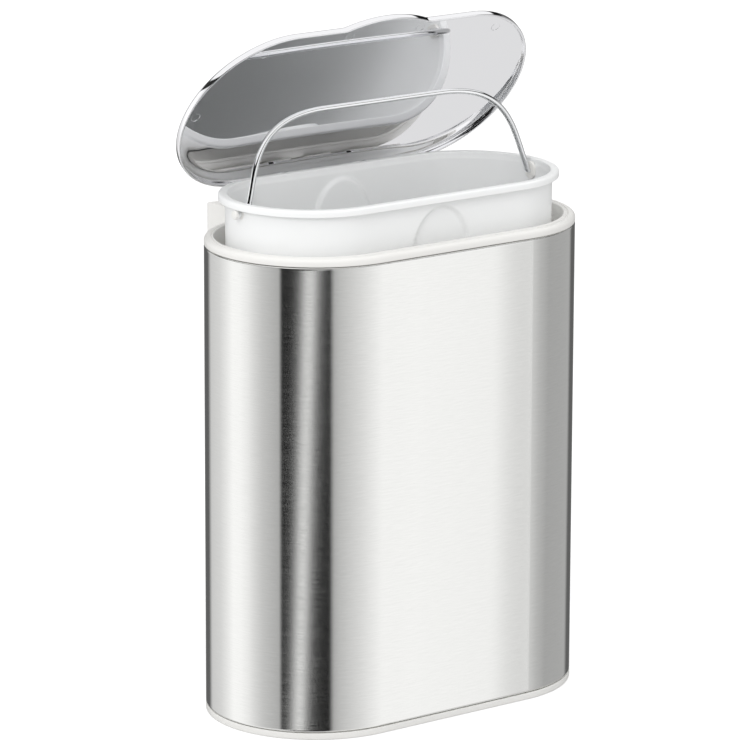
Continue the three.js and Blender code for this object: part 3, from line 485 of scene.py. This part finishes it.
def wall_radius(z):
    """The outer radius of the tapered wall at a height, a straight line from foot to rim."""
    return bucket_foot + (bucket_radius - bucket_foot) * (z - bucket_bottom) / bucket_height


def smooth_step(t):
    """The cubic 3 t^2 - 2 t^3 between 0 and 1, level at both ends."""
    t = np.clip(t, 0, 1)
    return t * t * (3 - 2 * t)


def arch_inset(x, z):
    """How far the arch stands in: its depth times a smooth step of the distance inside its outline.

    The outline is two upright sides and a head that is half an ellipse. Inside the head the distance is
    taken as (1 - length of (x / half width, rise / head)) times the half width.
    """
    rise = np.clip(z - (arch_top - arch_head), 0, None) / arch_head
    inside = (1 - np.hypot(x / arch_half, rise)) * arch_half
    return arch_depth * smooth_step(inside / arch_slope + 0.5)


# Rows of the wall stand close together where the arch's head curves and under the rim.
wall_levels = bucket_bottom + np.concatenate([
    np.linspace(8, 180, 12), np.linspace(190, bucket_height - 13.5, 60),
    np.linspace(bucket_height - 13, bucket_height - 4.5, 12)])
inner_levels = wall_levels[::-1]
rim_inner, rim_low, under_roof = rim_radius - rim_wall, bucket_top - rim_height, bucket_top - rim_roof
mouth_radius = bucket_radius - bucket_wall
foot_centre = (bucket_foot - foot_round, bucket_bottom + foot_round)
bucket_profile = chain(
    (foot_inner, bucket_bottom), round_corner(*foot_centre, foot_round, -90, 0, 8),
    np.stack([wall_radius(wall_levels), wall_levels], axis=1),
    (bucket_radius, under_roof - rim_fillet), (bucket_radius + rim_fillet, under_roof),
    (rim_inner - rim_fillet, under_roof), (rim_inner, under_roof - rim_fillet),
    (rim_inner, rim_low + rim_ease), (rim_inner + rim_ease, rim_low),
    (rim_radius - rim_ease, rim_low), (rim_radius, rim_low + rim_ease),
    round_corner(rim_radius - rim_round, bucket_top - rim_round, rim_round, 0, 90, 8),
    round_corner(mouth_radius + mouth_step + mouth_round, bucket_top - mouth_round, mouth_round, 90, 180, 6),
    (mouth_radius + mouth_step, bucket_top - mouth_depth),
    (mouth_radius, bucket_top - mouth_depth - 2 * mouth_step),
    np.stack([wall_radius(inner_levels) - bucket_wall, inner_levels], axis=1),
    round_corner(*foot_centre, foot_round - bucket_wall, 0, -90, 8),
    (foot_inner, bucket_bottom + bucket_wall))
bucket_grid = oval_sweep(bucket_profile, bucket_straight, 0.0, arc_steps=64, side_steps=96)
bucket_radii = bucket_profile[:, 0][:, None]
on_wall = (bucket_grid[:, :, 2] < arch_end) & (bucket_radii > arch_foot)
fade = np.clip((bucket_radii - arch_foot) / arch_fade, 0, 1)
inset = arch_inset(bucket_grid[:, :, 0], bucket_grid[:, :, 2]) * on_wall * fade
bucket_grid[:, :, 1] -= np.sign(bucket_grid[:, :, 1]) * inset
bucket_grid[:, :, 1] += opening_shift
bucket = make_piece("bucket_moulding", [(bucket_grid, False, True, True, True)], polypropylene, 40)
dress(bucket, "bucket", "bucket_moulding", "bucket_shell")

# Bushes of the bail
#
# Two small ABS bushes pressed into the bucket's end walls, so that the wire turns in them. Inside the
# wall each shows as an upright rounded flange.

pivot_z = bucket_top - 7.1
wall_outside = bucket_straight + wall_radius(pivot_z)
flange_half, flange_rise, flange_thickness, flange_gap = 4.0, 1.4, 1.6, 0.3
barrel_radius, barrel_core, barrel_overlap = 3.1, 0.1, 0.4
flange_in = wall_outside - bucket_wall - flange_gap - flange_thickness


def bush_flange(steps=64):
    """An upright flange: each row is two half circles, one moved up and one down by flange_rise.

    The rows follow (inset, place along x) pairs, which ease the edge that faces into the bucket.
    """
    t = np.linspace(0, 2 * np.pi, steps, endpoint=False)
    apart = np.where(np.abs(np.sin(t)) > 1e-9, np.sign(np.sin(t)), 0) * flange_rise
    eased = np.array([(3.0, 0.0), (0.7, 0.0), (0.2, 0.2), (0.0, 0.7), (0.0, flange_thickness)])
    radius, place = flange_half - eased[:, :1], flange_in + eased[:, 1:]
    x = np.broadcast_to(place, (len(eased), steps))
    return np.stack([x, radius * np.cos(t), radius * np.sin(t) + apart], axis=2)


barrel_start = flange_in + flange_thickness - barrel_overlap
barrel_profile = chain((barrel_core, barrel_start), (barrel_radius, barrel_start),
                       (barrel_radius, wall_outside), (barrel_core, wall_outside))
for name, side in (("bail_bush_left", -1), ("bail_bush_right", 1)):
    bush_sheets = []
    for grid in (bush_flange(), turned(barrel_profile, (0, 0, 0), "x")):
        placed = grid * np.array([side, 1, 1]) + np.array([0, opening_shift, pivot_z])
        bush_sheets.append((placed, False, True, True, True))
    bush = make_piece(f"{name}_moulding", bush_sheets, white_abs)
    dress(bush, "bucket", "white_moulding", name)

# Wire bail and its end caps
#
# One length of chromed steel wire bent to a wide arch: its legs lean in, its corners are wide, and
# its ends turn outwards through the bushes into small ABS caps. It stands a little back from upright.

wire_radius, bail_height, leg_x = 1.75, 54.2, 103.0
lean = math.radians(7.4)
cap_gap, cap_grip = 2.9, 1.1
cap_inner = wall_outside + cap_gap
wire_end = cap_inner + cap_grip
foot_bend, foot_rise, level_from = 2.4, 0.6, 40.0
leg_pull, corner_pull, corner_end = (-95.0, 25.0), (-95.1, bail_height), (-42.7, bail_height)


def bezier(points, steps):
    """A cubic Bezier curve through four control points."""
    t = np.linspace(0, 1, steps + 1)[:, None]
    a, b, c, d = [np.asarray(p, dtype=float) for p in points]
    return a * (1 - t) ** 3 + 3 * b * t * (1 - t) ** 2 + 3 * c * t * t * (1 - t) + d * t ** 3


def wire_along(path, radius, sides=28):
    """A round wire along an (x, z) path: each section is radius * (cos a * normal + sin a * y)."""
    along = np.gradient(path, axis=0)
    along /= np.linalg.norm(along, axis=1)[:, None]
    normal = np.stack([-along[:, 1], along[:, 0]], axis=1)
    a = np.linspace(0, 2 * np.pi, sides, endpoint=False)
    x = path[:, 0][:, None] + radius * normal[:, 0][:, None] * np.cos(a)
    z = path[:, 1][:, None] + radius * normal[:, 1][:, None] * np.cos(a)
    y = np.broadcast_to(radius * np.sin(a), x.shape)
    return np.stack([x, y, z], axis=2)


def leaned(grid, angle, y0, z0):
    """Turns points about x, their own upright towards +y by an angle, and moves them by (y0, z0)."""
    y = grid[..., 1] * math.cos(angle) + grid[..., 2] * math.sin(angle)
    z = -grid[..., 1] * math.sin(angle) + grid[..., 2] * math.cos(angle)
    return np.stack([grid[..., 0], y + y0, z + z0], axis=-1)


turn = np.radians(np.linspace(10, 90, 9))
left_half = np.concatenate([
    np.stack([np.linspace(-wire_end, -leg_x - foot_bend, 6), np.zeros(6)], axis=1),
    np.stack([-leg_x - foot_bend * (1 - np.sin(turn)), foot_bend * (1 - np.cos(turn))], axis=1),
    bezier([(-leg_x, foot_bend + foot_rise), leg_pull, corner_pull, corner_end], 90),
    np.stack([np.linspace(-level_from, 0, 14), np.full(14, bail_height)], axis=1)])
wire_path = np.concatenate([left_half, left_half[::-1][1:] * np.array([-1, 1])])


def chrome(name, colour, roughness, ripple_mm, relief_mm):
    """Bright chrome: a near mirror whose image is bent a little by the slow ripple under the plating."""
    material, tree = new_material(name)
    place = add_node(tree, "ShaderNodeTexCoord")
    ripple = add_node(tree, "ShaderNodeTexNoise", {"Scale": 1 / (ripple_mm * MM), "Detail": 1.0},
                      {"Vector": place.outputs["Object"]})
    bump = add_node(tree, "ShaderNodeBump", {"Strength": 0.5, "Distance": relief_mm * MM},
                    {"Height": ripple.outputs["Fac"]})
    shader = add_node(tree, "ShaderNodeBsdfPrincipled",
                      {"Base Color": linear_colour(colour), "Metallic": 1.0, "Roughness": roughness},
                      {"Normal": bump.outputs["Normal"]})
    finish_material(tree, shader)
    return material


# Chromed drawn wire: thin bright and dark lines that run along it, a little soft from the drawing.
wire_chrome = chrome("chromed_steel_wire", "#EDEEEF", 0.05, 12.0, 0.02)
wire_grid = leaned(wire_along(wire_path, wire_radius), lean, opening_shift, pivot_z)
wire = make_piece("bail_wire_steel", [(wire_grid, False, True, True, True)], wire_chrome, 50)
dress(wire, "bail", "chromed_wire", "bail_wire")

cap_radius, cap_height, cap_core, cap_foot_round, cap_top_round = 2.7, 2.2, 0.2, 0.4, 0.8
cap_profile = chain(
    (cap_core, 0.0), round_corner(cap_radius - cap_foot_round, cap_foot_round, cap_foot_round, -90, 0, 4),
    round_corner(cap_radius - cap_top_round, cap_height - cap_top_round, cap_top_round, 0, 90, 6),
    (cap_core, cap_height))
for name, side in (("bail_cap_left", -1), ("bail_cap_right", 1)):
    cap_grid = turned(cap_profile, (cap_inner, 0, 0), "x") * np.array([side, 1, 1])
    cap_grid = leaned(cap_grid, lean, opening_shift, pivot_z)
    cap = make_piece(f"{name}_moulding", [(cap_grid, False, True, True, True)], white_abs)
    dress(cap, "bail", "white_moulding", name)

# Lid with its hinge arms, and the hinge pin
#
# The lid is moulded in ABS and bright chrome plated all over. A short skirt runs round a nearly flat
# underside that mirrors the bucket and is a little deeper at the hinge. A finger tab bulges from the
# front edge, ejector pins left faint rings, and two cranked arms carry the lid on the pin.

lid_straight, lid_radius, lid_middle = 64.3, 59.5, opening_shift - hinge_y
lid_bottom, lid_edge, lid_shoulder, lid_crown = -1.6, 4.9, 2.2, 2.6
lid_heel, heel_share = 2.3, 0.09
skirt_wall, wall_round, lip_ease, lip_cut = 1.5, 1.0, 0.5, 0.15
tab_half, tab_reach, tab_blend = 30.0, 6.0, 0.2
plate_middle, plate_tilt, plate_bow = 4.6, 2.14, 1.72
plate_half_width, plate_half_length = 57.5, 121.8
plate_edge, plate_edge_band = 3.9, 4.5
open_angle = math.radians(56.5)


def lid_outline(inset, arc_steps=110, side_steps=160):
    """The lid's plan at an inset: the oval, with the tab's shallow arc added to the front edge.

    Across the tab the front edge moves out by an arc that rises tab_reach over tab_half, and a
    smooth blend of both edges rounds the two corners where they meet.
    """
    oval = np.array([[lid_radius - inset, 0.0]])
    plan = oval_sweep(oval, lid_straight, lid_middle, arc_steps, side_steps)[0, :, :2]
    arc_radius = (tab_half ** 2 + tab_reach ** 2) / (2 * tab_reach)
    x = plan[:, 0]
    bulge = np.sqrt(np.clip(arc_radius ** 2 - x * x, 0, None)) - (arc_radius - tab_reach)
    blended = tab_blend * np.logaddexp(0, bulge / tab_blend)
    on_front = (plan[:, 1] < lid_middle - (lid_radius - inset) + 1e-6) & (np.abs(x) < lid_straight)
    plan[:, 1] -= np.where(on_front, blended, 0)
    return plan


def lid_rows(levels):
    """Rows of points from (inset, height) pairs, each the lid's outline at that inset."""
    plans = np.array([lid_outline(inset) for inset, _ in levels])
    heights = np.array([height for _, height in levels], dtype=float)[:, None, None]
    return np.concatenate([plans, np.broadcast_to(heights, plans.shape[:2] + (1,))], axis=2)


def drawn_in(row, shares):
    """Rows that shrink one outline to the lid's middle line: each point moves to its nearest spine point."""
    spine = np.stack([np.clip(row[:, 0], -lid_straight, lid_straight), np.full(len(row), lid_middle)], axis=1)
    plan = spine + (row[:, :2] - spine) * shares[:, None, None]
    return np.concatenate([plan, np.zeros(plan.shape[:2] + (1,))], axis=2)


def plate_depth(grid, from_wall):
    """How deep the underside lies: deeper towards the hinge, bowed a little along x, less deep at the wall.

    depth = middle + tilt * (y share) - bow * (x share)^2, held down to the edge's depth at the wall and
    let go over the edge's band by a smooth step.
    """
    hingeward = (grid[..., 1] - lid_middle) / plate_half_width
    depth = plate_middle + plate_tilt * hingeward - plate_bow * (grid[..., 0] / plate_half_length) ** 2
    return depth - np.maximum(depth - plate_edge, 0) * (1 - smooth_step(from_wall / plate_edge_band))


def opened(grid):
    """Turns points of the closed lid's hinge frame by the rest opening and puts them at the hinge."""
    return leaned(grid, open_angle, hinge_y, hinge_z)


lid_top = lid_bottom + lid_edge
lip_levels = [(lip_ease, lid_bottom), (lip_cut, lid_bottom + lip_cut), (0.0, lid_bottom + lip_ease)]
shoulder_levels = [(lid_shoulder * (1 - math.cos(a)), lid_top - lid_shoulder + lid_shoulder * math.sin(a))
                   for a in np.radians(np.linspace(0, 88, 12))]
outer_rows = lid_rows(lip_levels + shoulder_levels)

# The crown's rows crowd towards the edge, where the heel rises on the hinge side.
crown_shares = 1 - np.linspace(0, 1, 41)[1:] ** 1.5
crown_rows = drawn_in(outer_rows[-1], crown_shares)
hinge_side = np.clip((crown_rows[..., 1] - lid_middle) / lid_radius, 0, 1)
crown_rise = lid_crown * (1 - crown_shares ** 2)
heel_rise = smooth_step((1 - crown_shares) / heel_share)[:, None] * lid_heel * hinge_side
crown_rows[..., 2] = lid_top + crown_rise[:, None] + heel_rise

lip_rows = lid_rows([(lip_ease, lid_bottom), (skirt_wall - lip_ease, lid_bottom),
                     (skirt_wall - lip_cut, lid_bottom + lip_cut), (skirt_wall, lid_bottom + lip_ease)])
wall_turn = np.radians(np.linspace(0, 90, 10))
wall_rows = lid_rows([(skirt_wall + wall_round * (1 - math.cos(a)), 0.0) for a in wall_turn])
wall_rows[..., 2] = lid_bottom + plate_depth(wall_rows, 0.0) - wall_round * (1 - np.sin(wall_turn))[:, None]
plate_shares = np.linspace(1, 0, 41)[1:]
plate_rows = drawn_in(wall_rows[-1], plate_shares)
plate_rows[..., 2] = lid_bottom + plate_depth(plate_rows, (1 - plate_shares)[:, None] * lid_radius)
shell_grid = np.concatenate([plate_rows[::-1], wall_rows[::-1], lip_rows[::-1], outer_rows, crown_rows])
lid_sheets = [(opened(shell_grid), False, True, False, False)]


def side_plate(outline, x0, x1, ease):
    """A side view (y, z) carried along x, its rim eased: the outline shrinks to its centre at both ends."""
    middle = outline.mean(axis=0)
    size = np.abs(outline - middle).max()
    rows = []
    for x, inset in ((x0, ease), (x0 + ease, 0), (x1 - ease, 0), (x1, ease)):
        plan = middle + (outline - middle) * (1 - inset / size)
        rows.append(np.column_stack([np.full(len(plan), x), plan]))
    return np.array(rows)


arm_spread, arm_half, arm_bar, arm_crank = 29.0, 5.0, 4.2, 15.6
arm_eye, arm_overlap, arm_ease = 5.4, 2.0, 0.4
arm_root, bar_top = lid_middle + lid_radius - arm_overlap, lid_top - lid_shoulder / 4
arm_outline = chain(
    (arm_root, bar_top - arm_bar), (arm_bar - arm_crank, bar_top - arm_bar),
    round_corner(0, 0, arm_eye, -135, 90, 24), (arm_root, bar_top))
for arm_x in (-arm_spread, arm_spread):
    arm_grid = side_plate(arm_outline, arm_x - arm_half, arm_x + arm_half, arm_ease)
    lid_sheets.append((opened(arm_grid), False, True, True, True))

mark_radius, bead_radius = 2.9, 0.13


def mark_ring(x, y):
    """A faint ejector ring: a thin round bead turned round (x, y) on the underside."""
    height = lid_bottom + plate_depth(np.array([x, y]), lid_radius)
    return turned(round_corner(mark_radius, height, bead_radius, 0, 315, 7), (x, y, 0), "z", 40)


for mark_x, mark_y in ((-84, -127.5), (-114.5, -81.5), (-24, -133), (27.5, -132.5), (87, -125.5)):
    lid_sheets.append((opened(mark_ring(mark_x, mark_y)), True, True, False, False))

# Bright chrome on ABS: a clean mirror, whose wide slow ripple hardly bends the image.
mirror_chrome = chrome("bright_chrome_on_abs", "#F5F5F7", 0.02, 60.0, 0.01)
lid = make_piece("lid_plated_shell", lid_sheets, mirror_chrome, 50)
dress(lid, "lid", "plated_lid", "lid_shell")

pin_radius, pin_chamfer, pin_left, pin_right = 2.0, 0.4, -54.0, 66.0
pin_profile = chain(
    (0, pin_left), (pin_radius - pin_chamfer, pin_left), (pin_radius, pin_left + pin_chamfer),
    (pin_radius, pin_right - pin_chamfer), (pin_radius - pin_chamfer, pin_right), (0, pin_right))
pin_grid = opened(turned(pin_profile, (0, 0, 0), "x", 32))
pin = make_piece("hinge_pin_steel", [(pin_grid, False, True, False, False)], zinc)
dress(pin, "lid", "zinc_steel", "hinge_pin")

# Camera
#
# A long lens from the front left, a little above the lid. Its turn, pitch and roll are in radians,
# its place is in metres and its focal length is counted in pixels of a frame 750 wide.

camera_turn, camera_pitch, camera_roll = 0.644240, 0.246565, 0.003523
camera_place = (-1.74890, -2.31256, 0.92619)
focal_pixels, frame_pixels, sensor_mm = 5009.83, 750, 36.0
forward = np.array([math.sin(camera_turn) * math.cos(camera_pitch),
                    math.cos(camera_turn) * math.cos(camera_pitch), -math.sin(camera_pitch)])
level = np.array([math.cos(camera_turn), -math.sin(camera_turn), 0.0])
upward = np.cross(level, forward)
right = math.cos(camera_roll) * level + math.sin(camera_roll) * upward
upward = math.cos(camera_roll) * upward - math.sin(camera_roll) * level
camera_data = bpy.data.cameras.new("long_lens")
camera_data.sensor_width = sensor_mm
camera_data.lens = sensor_mm * focal_pixels / frame_pixels
camera_data.clip_end = 100.0
camera = bpy.data.objects.new("camera", camera_data)
bpy.context.scene.collection.objects.link(camera)
camera_axes = Matrix([list(row) for row in np.stack([right, upward, -forward], axis=1)])
camera.matrix_world = Matrix.Translation(Vector(camera_place)) @ camera_axes.to_4x4()
bpy.context.scene.camera = camera

# Floor
#
# A plain sheet painted white, which keeps a soft shadow of the bin. A glow that only the camera sees
# brings its colour up to the white backdrop, and reflections see the light tent in its place.

floor_half = 30
floor_material, floor_tree = new_material("white_painted_floor")
rays = add_node(floor_tree, "ShaderNodeLightPath")
seen = add_node(floor_tree, "ShaderNodeMath", {"operation": "MAXIMUM"},
                {0: rays.outputs["Is Camera Ray"], 1: rays.outputs["Is Transmission Ray"]})
matte = add_node(floor_tree, "ShaderNodeBsdfDiffuse", {"Color": linear_colour("#D6D6D6")})
glow = add_node(floor_tree, "ShaderNodeEmission", {"Color": linear_colour("#BCBCBC")},
                {"Strength": seen.outputs[0]})
total = add_node(floor_tree, "ShaderNodeAddShader", links={0: matte.outputs[0], 1: glow.outputs[0]})
finish_material(floor_tree, total)
floor_mesh = bpy.data.meshes.new("floor")
floor_corners = [(-floor_half, -floor_half, 0), (floor_half, -floor_half, 0),
                 (floor_half, floor_half, 0), (-floor_half, floor_half, 0)]
floor_mesh.from_pydata(floor_corners, [], [(0, 1, 2, 3)])
floor_mesh.materials.append(floor_material)
floor = bpy.data.objects.new("floor", floor_mesh)
bpy.context.scene.collection.objects.link(floor)
floor.visible_glossy = False

# Light tent and lamps
#
# A plain even light for every matt surface, and for reflections alone a grey tent. Its walls have
# one dark stretch beside the camera, where a leaning strip light stands, and two more opposite. A dark
# gap runs under its white roof. Two softboxes stand above the bin and to its left.

soft_level, roof_level, backdrop_level = 0.92, 1.0, 1.0
strip_lean, strip_bearing, strip_height, strip_half = math.radians(142), math.radians(-8.3), -0.264, 20

# Bearing in degrees from the camera's side, positive to its right, and the wall's grey there.
tent_walls = [
    (-180, 0.8), (-166, 0.13), (-147, 0.13), (-138, 0.7), (-117, 0.82), (-106, 0.98), (-95, 1.17),
    (-84, 1.15), (-74, 1.02), (-66, 0.85), (-56, 0.68), (-38, 0.5), (-34.5, 0.03), (-28, 0.01),
    (14, 0.01), (17, 0.04), (21.5, 0.5), (27, 0.61), (36, 0.72), (48, 0.85), (58, 0.97), (70, 1.1),
    (75.2, 1.16), (78.5, 0.72), (87, 0.58), (100, 0.46), (125, 0.47), (140, 0.48), (148, 0.13),
    (166, 0.13), (173, 0.6), (180, 0.8)]

# Degrees across the strip light, and its brightness there.
strip_stops = [(-20, 0), (-11, 0), (-5, 0.9), (0, 1.35), (4, 0.9), (8.5, 0), (20, 0)]

# Height of the ray's direction, and the share of white that the sheets below and overhead give there.
sheet_stops = [(-1, 0.6), (-0.72, 0.6), (-0.5, 0.0), (0.46, 0.0), (0.54, 1.0), (1, 1.0)]

# Height of the ray's direction, and the brightness that the gap under the roof leaves there.
gap_stops = [(-1, 1.0), (0.32, 1.0), (0.35, 0.03), (0.5, 0.03), (0.54, 1.0), (1, 1.0)]


def fill_ramp(ramp, stops):
    """Sets a colour ramp's stops from (place, grey) pairs, its ends at the first and the last place."""
    low, high = stops[0][0], stops[-1][0]
    while len(ramp.elements) < len(stops):
        ramp.elements.new(0.5)
    for element, (place, grey) in zip(ramp.elements, stops):
        element.position = (place - low) / (high - low)
        element.color = (grey, grey, grey, 1)


world = bpy.data.worlds.new("light_tent")
bpy.context.scene.world = world
world.use_nodes = True
world.cycles.sampling_method = "NONE"
tent = world.node_tree
tent.nodes.clear()
look = add_node(tent, "ShaderNodeTexCoord")
to_camera = add_node(tent, "ShaderNodeVectorMath",
                     {"operation": "DOT_PRODUCT", 1: (-math.sin(camera_turn), -math.cos(camera_turn), 0.0)},
                     {0: look.outputs["Generated"]})
to_right = add_node(tent, "ShaderNodeVectorMath",
                    {"operation": "DOT_PRODUCT", 1: (math.cos(camera_turn), -math.sin(camera_turn), 0.0)},
                    {0: look.outputs["Generated"]})
bearing = add_node(tent, "ShaderNodeMath", {"operation": "ARCTAN2"},
                   {0: to_right.outputs["Value"], 1: to_camera.outputs["Value"]})
share = add_node(tent, "ShaderNodeMapRange", {"From Min": -math.pi, "From Max": math.pi},
                 {"Value": bearing.outputs[0]})
walls = add_node(tent, "ShaderNodeValToRGB", links={"Fac": share.outputs["Result"]})
fill_ramp(walls.color_ramp, tent_walls)
height = add_node(tent, "ShaderNodeSeparateXYZ", links={"Vector": look.outputs["Generated"]})
leaning = add_node(tent, "ShaderNodeMath", {"operation": "MULTIPLY_ADD", 1: -strip_lean},
                   {0: height.outputs["Z"], 2: bearing.outputs[0]})
strip_middle = strip_bearing - strip_lean * strip_height
strip_share = add_node(tent, "ShaderNodeMapRange",
                       {"From Min": strip_middle - math.radians(strip_half),
                        "From Max": strip_middle + math.radians(strip_half)}, {"Value": leaning.outputs[0]})
strip = add_node(tent, "ShaderNodeValToRGB", links={"Fac": strip_share.outputs["Result"]})
fill_ramp(strip.color_ramp, strip_stops)
round_about = add_node(tent, "ShaderNodeMix", {"data_type": "RGBA", "blend_type": "LIGHTEN", "Factor": 1.0},
                       {"A": walls.outputs["Color"], "B": strip.outputs["Color"]})
level_share = add_node(tent, "ShaderNodeMapRange", {"From Min": -1.0, "From Max": 1.0},
                       {"Value": height.outputs["Z"]})
white_sheets = add_node(tent, "ShaderNodeValToRGB", links={"Fac": level_share.outputs["Result"]})
fill_ramp(white_sheets.color_ramp, sheet_stops)
gap = add_node(tent, "ShaderNodeValToRGB", links={"Fac": level_share.outputs["Result"]})
fill_ramp(gap.color_ramp, gap_stops)
with_sheets = add_node(tent, "ShaderNodeMix",
                       {"data_type": "RGBA", "B": (roof_level, roof_level, roof_level, 1)},
                       {"Factor": white_sheets.outputs["Color"], "A": round_about.outputs["Result"]})
tent_colour = add_node(tent, "ShaderNodeMix", {"data_type": "RGBA", "blend_type": "MULTIPLY", "Factor": 1.0},
                       {"A": with_sheets.outputs["Result"], "B": gap.outputs["Color"]})
paths = add_node(tent, "ShaderNodeLightPath")
soft_light = add_node(tent, "ShaderNodeMix",
                      {"data_type": "RGBA", "A": (soft_level, soft_level, soft_level, 1)},
                      {"Factor": paths.outputs["Is Glossy Ray"], "B": tent_colour.outputs["Result"]})
backdrop = add_node(tent, "ShaderNodeMath", {"operation": "MAXIMUM"},
                    {0: paths.outputs["Is Camera Ray"], 1: paths.outputs["Is Transmission Ray"]})
whole = add_node(tent, "ShaderNodeMix",
                 {"data_type": "RGBA", "B": (backdrop_level, backdrop_level, backdrop_level, 1)},
                 {"Factor": backdrop.outputs[0], "A": soft_light.outputs["Result"]})
sky = add_node(tent, "ShaderNodeBackground", {"Strength": 1.0}, {"Color": whole.outputs["Result"]})
add_node(tent, "ShaderNodeOutputWorld", links={"Surface": sky.outputs[0]})


def softbox(name, place, size, power):
    """A square area lamp that faces the bin. Place and size are in metres, power is in watts."""
    data = bpy.data.lights.new(name, "AREA")
    data.size = size
    data.energy = power
    lamp = bpy.data.objects.new(name, data)
    bpy.context.scene.collection.objects.link(lamp)
    lamp.location = place
    target = Vector((0, 0, 0.25))
    lamp.rotation_euler = (target - Vector(place)).to_track_quat("-Z", "Y").to_euler()
    lamp.visible_glossy = False


softbox("overhead_softbox", (-0.5, -0.7, 1.9), 1.4, 4.0)
softbox("side_softbox", (-1.75, -0.8, 1.2), 0.6, 8.0)

bpy.context.scene.view_settings.view_transform = "Standard"
